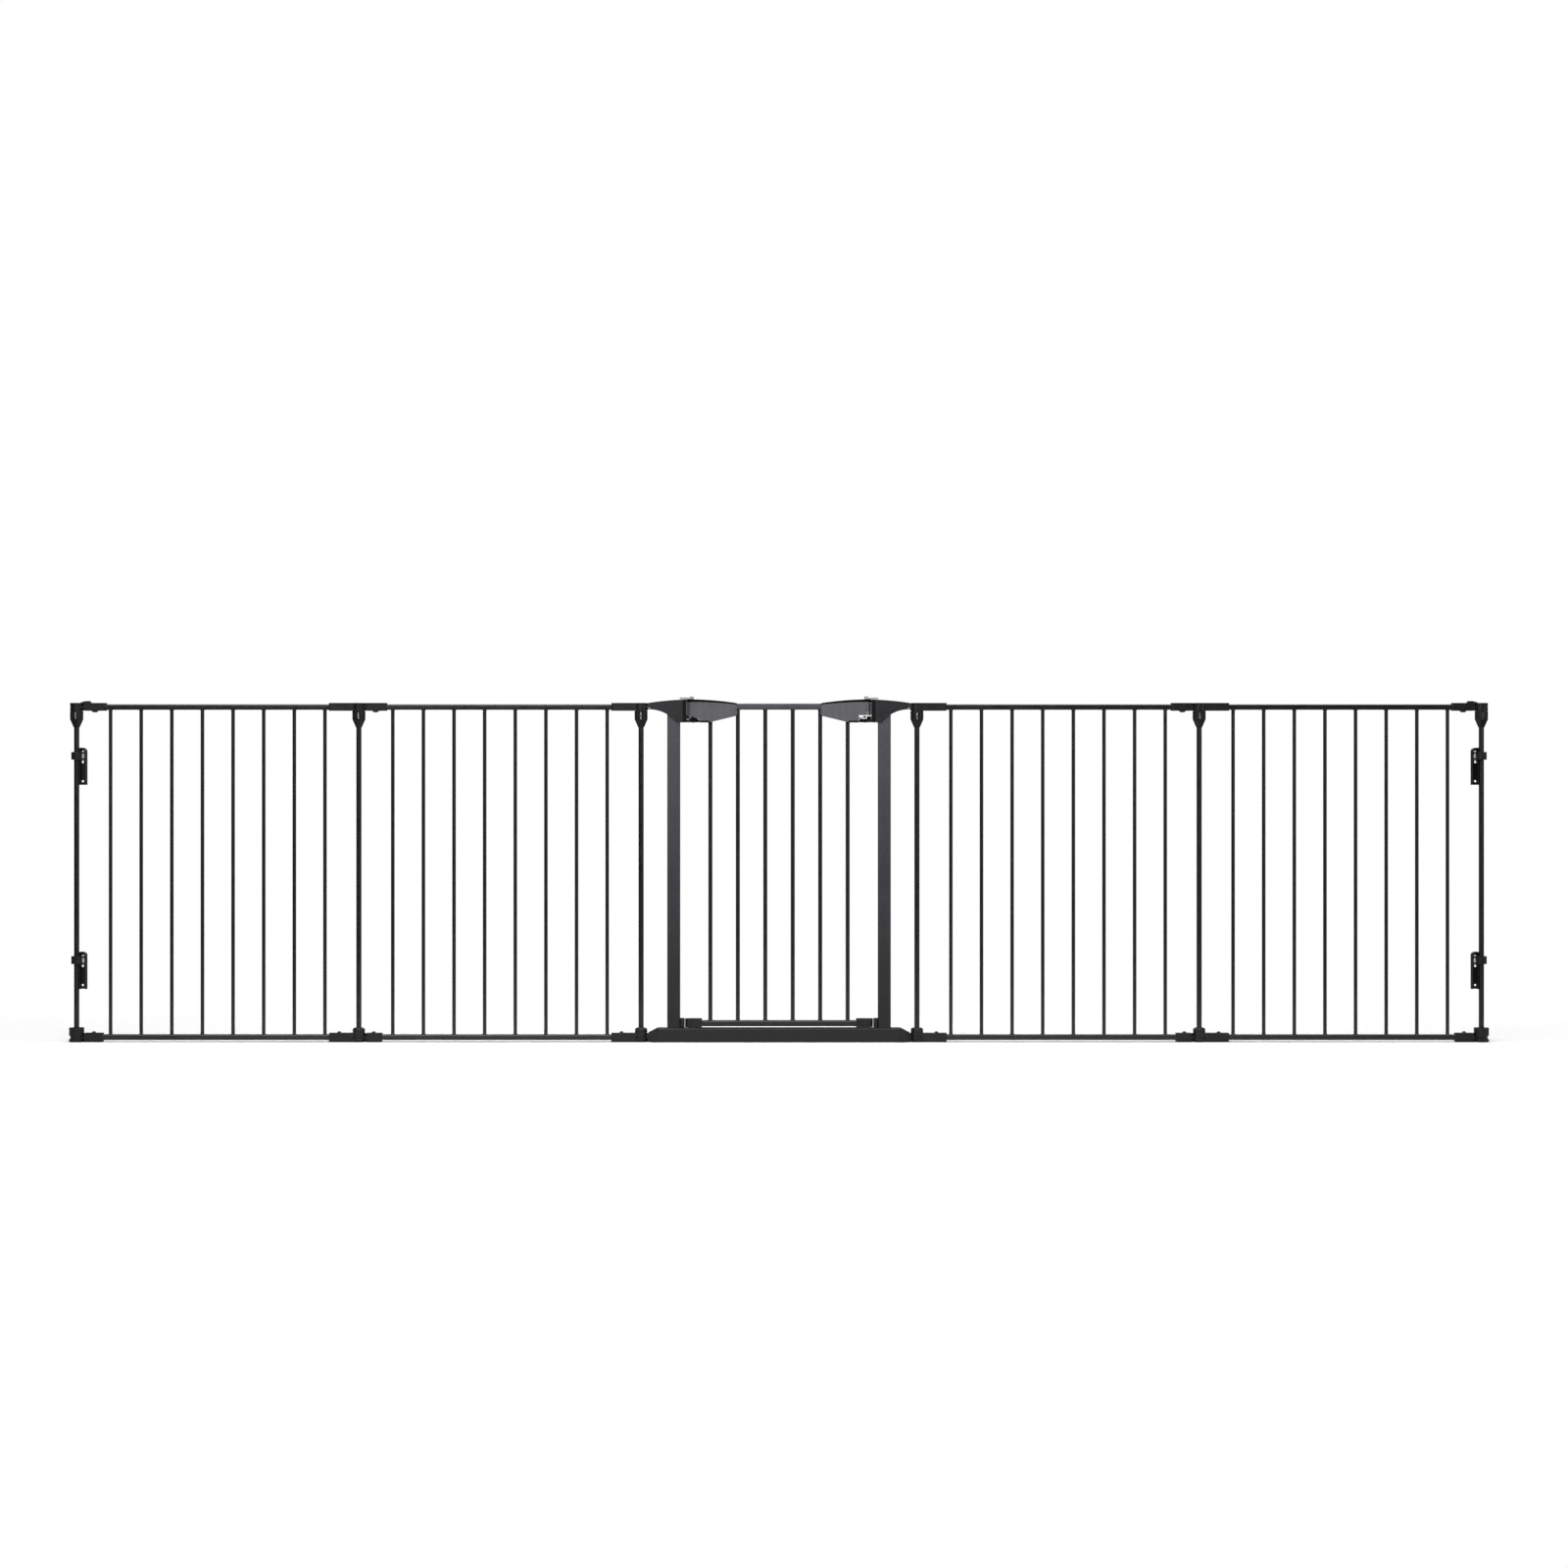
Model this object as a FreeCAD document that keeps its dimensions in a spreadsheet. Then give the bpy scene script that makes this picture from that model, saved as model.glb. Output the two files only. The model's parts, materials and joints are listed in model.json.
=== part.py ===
"""Folding safety gate: a two-way door in a steel frame, with two barred panels on each side.

+X runs along the gate, +Y through it and +Z up, and the origin lies on the floor under the
middle of the door. All sizes are in millimetres. The left half is built first, and pieces
that both halves share are mirrored in the plane x = 0. The door hangs on the left.
"""
import FreeCAD, Part
import math
import os
import Sketcher

VALID_VOLUME = 1.0
V = FreeCAD.Vector

doc = FreeCAD.newDocument("safety_gate")
sheet = doc.addObject("Spreadsheet::Sheet", "Sizes")
pieces = []


class Size(float):
    """A length that remembers the formula of sheet cells it was worked out from."""

    def __new__(cls, value, formula):
        made = super().__new__(cls, value)
        made.formula = formula
        return made

    def __add__(self, other):
        return joined(self, "+", other, float(self) + float(other))

    def __radd__(self, other):
        return joined(other, "+", self, float(other) + float(self))

    def __sub__(self, other):
        return joined(self, "-", other, float(self) - float(other))

    def __rsub__(self, other):
        return joined(other, "-", self, float(other) - float(self))

    def __mul__(self, other):
        return joined(self, "*", other, float(self) * float(other))

    def __rmul__(self, other):
        return joined(other, "*", self, float(other) * float(self))

    def __truediv__(self, other):
        return joined(self, "/", other, float(self) / float(other))

    def __neg__(self):
        return joined(0, "-", self, -float(self))


def formula_of(value):
    """The sheet formula of a size, or a plain number as text."""
    return value.formula if isinstance(value, Size) else f"({float(value):.6g})"


def joined(first, sign, second, value):
    """The size that a sum, difference, product or quotient gives."""
    return Size(value, f"({formula_of(first)} {sign} {formula_of(second)})")


def cell(alias, value):
    """Put a driving dimension in the next row of the sheet."""
    row = len(sheet.getUsedCells()) // 2 + 1
    sheet.set(f"A{row}", alias)
    sheet.set(f"B{row}", str(value))
    sheet.setAlias(f"B{row}", alias)
    return Size(value, f"Sizes.{alias}")


# Layout along X: the pivot poles of the side panels
gate_half = cell("gate_half", 304)
panel_pitch = cell("panel_pitch", 622)
bar_pitch = cell("bar_pitch", 67.5)
panel_bars = 8

# Tubes
bar_r = cell("bar_radius", 4)
pole_r = cell("pole_radius", 5.75)
tube_wall = cell("tube_wall", 1)
rail_depth = cell("rail_depth", 18)
rail_height = cell("rail_height", 12)
rail_round = cell("rail_round", 3.5)
rail_end = cell("rail_end_from_pole", 40)
top_rail_z = cell("top_rail_z", 731.5)
low_rail_z = cell("low_rail_z", 4.2)
pole_low = cell("pole_low_z", 2)
pole_high = cell("pole_high_z", 744.5)

# Knuckle joints between panels: a forked hub on the pole and a tongue that turns in it
top_arm_z = cell("top_arm_z", 729.5)
top_arm_high = cell("top_arm_height", 17)
low_arm_high = cell("low_arm_height", 19.4)
arm_half = cell("arm_half_depth", 11)
arm_round = cell("arm_round", 3)
hub_r = cell("hub_radius", 14.3)
end_hub_r = cell("end_hub_radius", 16.5)
slot_r = cell("slot_radius", 15.3)
tongue_r = cell("tongue_radius", 13.8)
neck_half = cell("neck_half_width", 7)
tongue_start = cell("tongue_start", 16)
low_tongue_start = cell("low_tongue_start", 17.2)
tongue_play = cell("tongue_play", 0.3)
top_slot_z = cell("top_slot_z", 735)
top_slot_high = cell("top_slot_height", 6)
low_slot_z = cell("low_slot_z", 6)
low_slot_high = cell("low_slot_height", 7.4)
spindle_r = cell("spindle_radius", 8)
hub_reach = cell("hub_arm_reach", 65)
tongue_reach_top = cell("tongue_reach_top", 62)
tongue_reach_low = cell("tongue_reach_low", 51.5)
end_reach_top = cell("end_reach_top", 65.5)
end_reach_low = cell("end_reach_low", 58.5)
collar_r = cell("collar_radius", 13.5)
collar_high = cell("collar_height", 11.6)
collar_bevel = cell("collar_bevel", 3)
stud_r = cell("stud_radius", 7)
stud_small_r = cell("stud_small_radius", 4.9)
stud_high = cell("stud_height", 3.5)
hub_stud_at = cell("hub_stud_at", 43)
tongue_studs_at = (cell("tongue_top_stud_at", 37), cell("tongue_low_stud_at", 32.7))
end_studs_at = (cell("end_top_stud_at", 40.4), cell("end_low_stud_at", 38.2))
low_stud_r = cell("low_stud_radius", 4.5)
low_stud_small_r = cell("low_stud_small_radius", 3.15)
ramp_tip = cell("ramp_tip", 9.5)
ramp_root = cell("ramp_root", 18)
ramp_crest_near = cell("ramp_crest_near", 21)
ramp_crest_far = cell("ramp_crest_far", 30)
ramp_far = cell("ramp_far", 31.5)
ramp_high = cell("ramp_height", 4.2)
ramp_float = cell("ramp_above_hub", 0.4)
ramp_tip_high = cell("ramp_tip_height", 1.2)
ramp_sunk = cell("ramp_sunk", 1)

# Sliding lock sleeve under each top hub
sleeve_gap = cell("sleeve_gap", 0.5)
sleeve_straight = cell("sleeve_straight", 18.5)
sleeve_taper = cell("sleeve_taper", 18)
sleeve_low_r = cell("sleeve_low_radius", 6.5)
sleeve_wall = cell("sleeve_wall", 2.6)
sleeve_play = cell("sleeve_play", 0.35)
flute_r = cell("flute_radius", 1.6)
flute_count = cell("flute_count", 12)
sleeve_slot_wide = cell("sleeve_slot_width", 2.4)
sleeve_slot_high = cell("sleeve_slot_height", 17)
sleeve_slot_drop = cell("sleeve_slot_below_shoulder", 0.5)
sleeve_floor_drop = cell("sleeve_floor_below_shoulder", 5.8)
sleeve_floor_inset = cell("sleeve_floor_inset", 3.9)

# Wall brackets on the end poles
bracket_high_z = cell("upper_bracket_z", 630)
bracket_low_z = cell("lower_bracket_z", 180)
band_half = cell("band_half_height", 8.5)
band_r = cell("band_radius", 11.7)
trough_near = cell("trough_near", 6.6)
trough_far = cell("trough_far", 21.2)
trough_drop = cell("trough_drop", 64)
trough_rise = cell("trough_rise", 18)
trough_front = cell("trough_front", 5)
trough_back = cell("trough_back", 12)
trough_wall = cell("trough_wall", 2)
trough_round = cell("trough_round", 8)
screw_hole_r = cell("screw_hole_radius", 2.4)
screw_at = cell("screw_from_pole", 11.3)
screw_spacing = cell("screw_spacing", 42)
screw_low = cell("low_screw_above_edge", 8.2)
bolt_at = cell("bolt_at", 14.6)
bolt_shank_r = cell("bolt_shank_radius", 2.5)
bolt_head_r = cell("bolt_head_radius", 4)
bolt_head_high = cell("bolt_head_height", 3.2)
lug_high = cell("lug_height", 3)

# Fixed frame of the door
post_mid = cell("post_middle", 232)
post_wide = cell("post_width", 28)
post_top = cell("post_top_z", 742)
post_round = cell("post_round", 3)
sill_half = cell("sill_half_length", 267)
sill_high = cell("sill_height", 31)
sill_half_depth = cell("sill_half_depth", 18)
sill_wall = cell("sill_wall", 1.5)
sill_end_step = cell("sill_end_step", 281)
sill_end_high = cell("sill_end_height", 20.5)
sill_plug = cell("sill_plug", 14)
plug_play = cell("plug_play", 0.8)
cap_inner = cell("cap_inner_x", 204.2)
cap_half_depth = cell("cap_half_depth", 16)
cap_low = cell("cap_low_z", 704)
cap_high = cell("cap_high_z", 754)
cap_hollow_r = cell("cap_hollow_radius", 75)
cap_hollow_x = cell("cap_hollow_x", 232)
cap_hollow_z = cell("cap_hollow_z", 709.6)
cap_foot_r = cell("cap_foot_radius", 15)
cap_foot_x = cell("cap_foot_x", 226)
cap_step = cell("cap_step_x", 278)
cap_under = cell("cap_under_z", 732.6)
cap_bulge_r = cell("cap_bulge_radius", 700)
stop_thick = cell("stop_thickness", 10)
stop_high = cell("stop_height", 21)

# Hinge, keeper and their pins
pivot = cell("pivot_x", 188.5)
pin_r = cell("pin_radius", 3)
pin_neck_r = cell("pin_neck_radius", 2)
pin_neck_low = cell("pin_neck_low_z", 732.5)
pin_neck_high = cell("pin_neck_high_z", 736)
pin_top = cell("upper_pin_top_z", 737)
keeper_top = cell("keeper_pin_top_z", 718)
plate_low = cell("plate_low_z", 706)
plate_thick = cell("plate_thickness", 3)
plate_half = cell("plate_half_width", 10)
plate_root = cell("plate_root_x", 216)
low_pin_top = cell("lower_pin_top_z", 50)
bush_bore = cell("bush_bore_radius", 3.05)
bush_r = cell("bush_radius", 4.5)
bush_seat = cell("bush_seat_radius", 4.55)
flange_r = cell("flange_radius", 8)
flange_high = cell("upper_flange_height", 3)
low_flange_high = cell("lower_flange_height", 2)
bush_top = cell("upper_bush_top_z", 730)
low_bush_top = cell("lower_bush_top_z", 47)
bush_headroom = cell("bush_headroom", 0.5)

# Door
door_bar_r = cell("door_bar_radius", 4.5)
door_bar_pitch = cell("door_bar_pitch", 60.5)
door_bars_each_side = 3
door_top_z = cell("door_top_rail_z", 731.8)
door_top_high = cell("door_top_rail_height", 13.4)
door_top_half = cell("door_top_rail_half", 160)
door_low_z = cell("door_low_rail_z", 34.5)
door_low_high = cell("door_low_rail_height", 13)
door_low_half = cell("door_low_rail_half", 180)
foot_inner = cell("foot_inner_x", 170)
foot_outer = cell("foot_outer_x", 207)
foot_low = cell("foot_low_z", 33)
foot_high = cell("foot_height", 18.5)
foot_half = cell("foot_half_depth", 11)

# Door housings
shell_end_r = cell("shell_end_radius", 14.5)
shell_tip = cell("shell_tip_x", 91)
shell_tip_half = cell("shell_tip_half_depth", 10.6)
shell_tip_round = cell("shell_tip_round", 5)
shell_high = cell("shell_high_z", 754.5)
shell_tip_high = cell("shell_tip_high_z", 746.7)
shell_tip_low = cell("shell_tip_low_z", 718)
shell_low = cell("shell_low_z", 703.7)
shell_bend = cell("shell_bend_x", 155)
shell_step = cell("shell_step_x", 176)
shell_arch_r = cell("shell_arch_radius", 735)
shell_wall = cell("shell_wall", 2.2)
shell_tip_curve = cell("shell_tip_curve_radius", 7)
boss_r = cell("boss_radius", 8)
boss_top = cell("boss_top_z", 731)
hinge_notch = cell("hinge_notch_z", 712)
latch_notch = cell("latch_notch_z", 720)
window_low = cell("window_low_z", 711)
window_high = cell("window_high_z", 718)

# Sliders
tab_inner = cell("tab_inner_x", 188)
tab_outer = cell("tab_outer_x", 218.7)
tab_low = cell("tab_low_z", 755)
tab_thick = cell("tab_thickness", 3.4)
tab_half = cell("tab_half_width", 8)
grip_high = cell("grip_height", 2.6)
grip_long = cell("grip_length", 9)
web_inner = cell("web_inner_x", 189)
web_outer = cell("web_outer_x", 193.4)
web_half = cell("web_half_width", 3)
web_play = cell("web_play", 0.3)
slider_travel = cell("slider_travel", 7)
beam_thick = cell("beam_thickness", 3)
riser_inner = cell("riser_inner_x", 161)
riser_outer = cell("riser_outer_x", 166.3)
fork_tip = cell("fork_tip_x", 184.2)
fork_half = cell("fork_half_width", 8)
fork_play = cell("fork_play", 0.3)
lift_fork_z = cell("lift_fork_z", 732.8)
lift_beam_z = cell("lift_beam_z", 739)
latch_fork_z = cell("latch_fork_z", 712)
latch_beam_z = cell("latch_beam_z", 723.2)


# ---------------------------------------------------------------- building blocks


def bind(made, **sizes):
    """Set an object's sizes and tie each to its cells."""
    for name, value in sizes.items():
        setattr(made, name, float(value))
        if isinstance(value, Size):
            made.setExpression(name, value.formula)
    return made


def put(made, x=0, y=0, z=0, turn=FreeCAD.Rotation()):
    """Place an object, and tie its position to the cells."""
    made.Placement = FreeCAD.Placement(V(x, y, z), turn)
    for axis, value in zip("xyz", (x, y, z)):
        if isinstance(value, Size):
            made.setExpression(f"Placement.Base.{axis}", value.formula)
    return made


def box(name, x, y, z):
    """A block between (low, high) limits along X, Y and Z."""
    made = doc.addObject("Part::Box", name)
    bind(made, Length=x[1] - x[0], Width=y[1] - y[0], Height=z[1] - z[0])
    return put(made, x[0], y[0], z[0])


def rod(name, radius, z, x=0, y=0):
    """An upright cylinder between two heights."""
    made = doc.addObject("Part::Cylinder", name)
    bind(made, Radius=radius, Height=z[1] - z[0])
    return put(made, x, y, z[0])


def cone(name, low_r, high_r, z, x=0, y=0):
    """An upright cone between two heights."""
    made = doc.addObject("Part::Cone", name)
    bind(made, Radius1=low_r, Radius2=high_r, Height=z[1] - z[0])
    return put(made, x, y, z[0])


def cross_rod(name, radius, x, y, z):
    """A cylinder along Y between two depths."""
    made = doc.addObject("Part::Cylinder", name)
    bind(made, Radius=radius, Height=y[1] - y[0])
    return put(made, x, y[0], z, FreeCAD.Rotation(V(1, 0, 0), -90))


def fuse(name, *parts):
    """One solid, or one group of solids, from several."""
    made = doc.addObject("Part::MultiFuse", name)
    made.Shapes = list(parts)
    return made


def cut(name, base, *tools):
    """A base with the tools taken away."""
    made = doc.addObject("Part::Cut", name)
    made.Base = base
    made.Tool = tools[0] if len(tools) == 1 else fuse(f"{name}_tools", *tools)
    return made


def common(name, first, second):
    """What two solids share."""
    made = doc.addObject("Part::Common", name)
    made.Base = first
    made.Tool = second
    return made


def group(name, *parts):
    """Separate solids that share one node."""
    made = doc.addObject("Part::Compound", name)
    made.Links = list(parts)
    return made


def mirrored(name, source):
    """The right-hand twin of a left-hand object."""
    made = doc.addObject("Part::Mirroring", name)
    made.Source = source
    made.Base = V(0, 0, 0)
    made.Normal = V(1, 0, 0)
    return made


def keep(label, made):
    """Name a finished sub-part, so that it is written to a file of that name."""
    made.Label = label
    pieces.append(made)
    return made


def keep_pair(label, made):
    """Keep a left-hand sub-part and its right-hand twin."""
    keep(f"left_{label}", made)
    keep(f"right_{label}", mirrored(f"mirror_{label}", made))


def arc(start, end, radius):
    """The short arc from start to end: round a centre on the left, or on the right if radius < 0."""
    chord = end - start
    apart = chord.Length
    rise = math.sqrt(radius * radius - apart * apart / 4)
    left = V(-chord.y, chord.x, 0) / apart
    centre = (start + end) / 2 + left * math.copysign(rise, radius)
    first, last = (start, end) if radius > 0 else (end, start)
    angles = [math.atan2(p.y - centre.y, p.x - centre.x) for p in (first, last)]
    circle = Part.Circle(centre, V(0, 0, 1), abs(radius))
    return Part.ArcOfCircle(circle, angles[0], angles[1])


def hold_point(sketch, edge, end, point):
    """Fix one end of a sketch's edge at a point, whose two coordinates are tied to the cells."""
    for kind, value, axis in (("DistanceX", point[0], -2), ("DistanceY", point[1], -1)):
        if float(value) == 0:
            sketch.addConstraint(Sketcher.Constraint("PointOnObject", edge, end, axis))
            continue
        number = sketch.addConstraint(Sketcher.Constraint(kind, edge, end, float(value)))
        if isinstance(value, Size):
            sketch.setExpression(f"Constraints[{number}]", value.formula)


def draw(sketch, points):
    """A closed loop through (x, y) points, anticlockwise. A third value is the radius of the arc
    that leads to the next point: negative for a hollow one."""
    first = sketch.GeometryCount
    count = len(points)
    for here, there in zip(points, points[1:] + points[:1]):
        start, end = V(here[0], here[1], 0), V(there[0], there[1], 0)
        curved = len(here) == 3
        shape = arc(start, end, float(here[2])) if curved else Part.LineSegment(start, end)
        sketch.addGeometry(shape, False)
    for i, here in enumerate(points):
        hollow = len(here) == 3 and float(here[2]) < 0
        begin, finish = (2, 1) if hollow else (1, 2)
        after = points[(i + 1) % count]
        next_begin = 2 if len(after) == 3 and float(after[2]) < 0 else 1
        following = first + (i + 1) % count
        link = Sketcher.Constraint("Coincident", first + i, finish, following, next_begin)
        sketch.addConstraint(link)
        hold_point(sketch, first + i, begin, here)
        if len(here) == 3:
            radius = here[2] if float(here[2]) > 0 else -here[2]
            number = sketch.addConstraint(Sketcher.Constraint("Radius", first + i, float(radius)))
            if isinstance(radius, Size):
                sketch.setExpression(f"Constraints[{number}]", radius.formula)


def new_body(name):
    return doc.addObject("PartDesign::Body", name)


def new_sketch(body, plane, offset=0):
    """A sketch on one of the body's own origin planes, or at an offset from it."""
    sketch = body.newObject("Sketcher::SketchObject", f"{body.Name}_sketch")
    base = next(f for f in body.Origin.OriginFeatures if f.Role == plane)
    sketch.AttachmentSupport = [(base, "")]
    sketch.MapMode = "FlatFace"
    sketch.AttachmentOffset = FreeCAD.Placement(V(0, 0, offset), FreeCAD.Rotation())
    if isinstance(offset, Size):
        sketch.setExpression("AttachmentOffset.Base.z", offset.formula)
    return sketch


def pad(body, sketch, length, symmetric=False):
    made = body.newObject("PartDesign::Pad", f"{body.Name}_pad")
    made.Profile = sketch
    bind(made, Length=length)
    made.SideType = "Symmetric" if symmetric else "One side"
    sketch.Visibility = False
    return made


def upright_slab(name, loops, z):
    """Loops drawn in plan, raised between two heights."""
    body = new_body(name)
    sketch = new_sketch(body, "XY_Plane", z[0])
    for loop in loops:
        draw(sketch, loop)
    pad(body, sketch, z[1] - z[0])
    return body


def side_slab(name, loops, half):
    """Loops drawn in elevation (X, Z), spread half to the front and half to the back."""
    body = new_body(name)
    sketch = new_sketch(body, "XZ_Plane")
    for loop in loops:
        draw(sketch, loop)
    pad(body, sketch, 2 * half, symmetric=True)
    return body


def long_bar(name, loops, x):
    """Loops drawn in section (Y, Z), run along X between two places."""
    body = new_body(name)
    sketch = new_sketch(body, "YZ_Plane", x[0])
    for loop in loops:
        draw(sketch, loop)
    pad(body, sketch, x[1] - x[0])
    return body


def rounded(low, high, radius):
    """A rectangle from corner low to corner high with rounded corners."""
    return [
        (low[0] + radius, low[1]),
        (high[0] - radius, low[1], radius),
        (high[0], low[1] + radius),
        (high[0], high[1] - radius, radius),
        (high[0] - radius, high[1]),
        (low[0] + radius, high[1], radius),
        (low[0], high[1] - radius),
        (low[0], low[1] + radius, radius),
    ]


def tube_loops(low, high, radius, wall):
    """The outside and the bore of a rectangular tube."""
    inner_low = (low[0] + wall, low[1] + wall)
    inner_high = (high[0] - wall, high[1] - wall)
    return [rounded(low, high, radius), rounded(inner_low, inner_high, radius - wall)]


def round_tubes(name, radius, wall, z, places):
    """Upright round tubes at several places along X, as one group."""
    outer = [rod(f"{name}_outer", radius, z, x) for x in places]
    inner = [rod(f"{name}_bore", radius - wall, z, x) for x in places]
    if len(places) == 1:
        return cut(f"{name}_tube", outer[0], inner[0])
    return group(name, *[cut(f"{name}_tube", o, i) for o, i in zip(outer, inner)])


def span(low, height):
    """The two heights of something that starts at low and is so high."""
    return (low, low + height)


# ---------------------------------------------------------------- side panels


def rails(name, inner_pole):
    """Top and bottom rail of a panel: two equal steel tubes, let into the arms."""
    x = (inner_pole - panel_pitch + rail_end, inner_pole - rail_end)
    both = []
    for level, z in (("top", top_rail_z), ("low", low_rail_z)):
        low, high = (-rail_depth / 2, z), (rail_depth / 2, z + rail_height)
        section = tube_loops(low, high, rail_round, tube_wall)
        both.append(long_bar(f"{name}_{level}_rail", section, x))
    return group(f"{name}_rails", *both)


def panel_bars_between(name, inner_pole):
    """Eight upright bars, welded between the rails."""
    first = inner_pole - panel_pitch / 2 + bar_pitch * (panel_bars - 1) / 2
    places = [first - bar_pitch * i for i in range(panel_bars)]
    z = (low_rail_z + rail_height, top_rail_z)
    return round_tubes(f"{name}_bars", bar_r, tube_wall, z, places)


def socket(name, x, rail_z):
    """The pocket that a rail's end fills."""
    return box(name, x, (-rail_depth / 2, rail_depth / 2), span(rail_z, rail_height))


def hub_arm(name, pole, z, slot, rail_z, extras=()):
    """A forked hub round a pole, with the arm that takes the rails on its outer side."""
    outer = pole - hub_reach
    plan = rounded((outer, -arm_half), (pole, arm_half), arm_round)
    arm = upright_slab(f"{name}_arm", [plan], z)
    hub = rod(f"{name}_hub", hub_r, z, pole)
    whole = fuse(f"{name}_solid", arm, hub, *extras)
    fork = rod(f"{name}_fork", slot_r, slot, pole)
    hole = rod(f"{name}_hole", pole_r, (pole_low, pole_high), pole)
    return cut(name, whole, fork, hole, socket(f"{name}_socket", (outer, pole - rail_end), rail_z))


def collar(name, pole):
    """The bevelled collar that stands on a bottom hub."""
    bevel_z = low_arm_high + collar_high - collar_bevel
    ring = rod(f"{name}_ring", collar_r, (low_arm_high, bevel_z), pole)
    bevel = cone(f"{name}_bevel", collar_r, collar_r - collar_bevel, span(bevel_z, collar_bevel), pole)
    return [ring, bevel]


def top_stud(name, at):
    """The press button under a top arm."""
    return cone(name, stud_small_r, stud_r, (top_arm_z - stud_high, top_arm_z), at)


def low_stud(name, at):
    """The press button on a bottom arm."""
    return cone(name, low_stud_r, low_stud_small_r, span(low_arm_high, stud_high), at)


def hub_arms(name, pole):
    top_slot = span(top_slot_z, top_slot_high)
    low_slot = span(low_slot_z, low_slot_high)
    extras = collar(f"{name}_collar", pole) + [low_stud(f"{name}_stud", pole - hub_stud_at)]
    top = hub_arm(f"{name}_top", pole, span(top_arm_z, top_arm_high), top_slot, top_rail_z)
    low = hub_arm(f"{name}_low", pole, (Size(0, "0"), low_arm_high), low_slot, low_rail_z, extras)
    return group(name, top, low)


def tongue(name, pole, slot, start):
    """The ring and neck that turn in a hub's fork, as far as the arm that starts beside it."""
    z = (slot[0] + tongue_play, slot[1] - tongue_play)
    ring = rod(f"{name}_ring", tongue_r, z, pole)
    neck = box(f"{name}_neck", (pole, pole + start + arm_round), (-neck_half, neck_half), z)
    return [ring, neck]


def tongue_arm(name, pole, start, z, slot, rail_z, reach, bore, extras=()):
    """A tongue with the arm that takes the rails on its inner side."""
    outer = pole + reach
    plan = rounded((pole + start, -arm_half), (outer, arm_half), arm_round)
    arm = upright_slab(f"{name}_arm", [plan], z)
    whole = fuse(f"{name}_solid", arm, *tongue(name, pole, slot, start), *extras)
    hole = rod(f"{name}_hole", bore, slot, pole)
    return cut(name, whole, hole, socket(f"{name}_socket", (pole + rail_end, outer), rail_z))


def tongue_arms(name, pole, reach_top, reach_low, studs_at, bore, extras=()):
    top_slot = span(top_slot_z, top_slot_high)
    low_slot = span(low_slot_z, low_slot_high)
    top_extras = [top_stud(f"{name}_top_stud", pole + studs_at[0]), *extras]
    low_extras = [low_stud(f"{name}_low_stud", pole + studs_at[1])]
    top_z = span(top_arm_z, top_arm_high)
    low_z = (Size(0, "0"), low_arm_high)
    levels = (
        ("top", tongue_start, top_z, top_slot, top_rail_z, reach_top, top_extras),
        ("low", low_tongue_start, low_z, low_slot, low_rail_z, reach_low, low_extras),
    )
    both = [
        tongue_arm(f"{name}_{level}", pole, start, z, slot, rail_z, reach, bore, extras)
        for level, start, z, slot, rail_z, reach, extras in levels
    ]
    return group(name, *both)


def thumb_ramp(name, pole):
    """The thumb piece on the top arm beside an end pole: a wedge that reaches over the hub."""
    base = top_arm_z + top_arm_high
    ramp = [
        (pole + ramp_tip, base + ramp_float),
        (pole + ramp_root, base + ramp_float),
        (pole + ramp_root, base - ramp_sunk),
        (pole + ramp_far, base - ramp_sunk),
        (pole + ramp_crest_far, base + ramp_high),
        (pole + ramp_crest_near, base + ramp_high),
        (pole + ramp_tip, base + ramp_tip_high),
    ]
    return side_slab(name, [ramp], arm_half - arm_round)


def end_hubs(name, pole):
    """Top and bottom hub of an end pole: spools that the end arms' rings turn on."""
    both = []
    top_slot = span(top_slot_z, top_slot_high)
    low_slot = span(low_slot_z, low_slot_high)
    low_z = (Size(0, "0"), low_arm_high + collar_high)
    levels = (
        ("top", hub_r, span(top_arm_z, top_arm_high), top_slot),
        ("low", end_hub_r, low_z, low_slot),
    )
    for level, radius, z, slot in levels:
        outer = rod(f"{name}_{level}_outer", radius, z, pole)
        groove = cut(
            f"{name}_{level}_groove",
            rod(f"{name}_{level}_wide", radius + 1, slot, pole),
            rod(f"{name}_{level}_core", spindle_r, slot, pole),
        )
        hole = rod(f"{name}_{level}_hole", pole_r, (pole_low, pole_high), pole)
        both.append(cut(f"{name}_{level}", outer, groove, hole))
    return group(name, *both)


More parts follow.
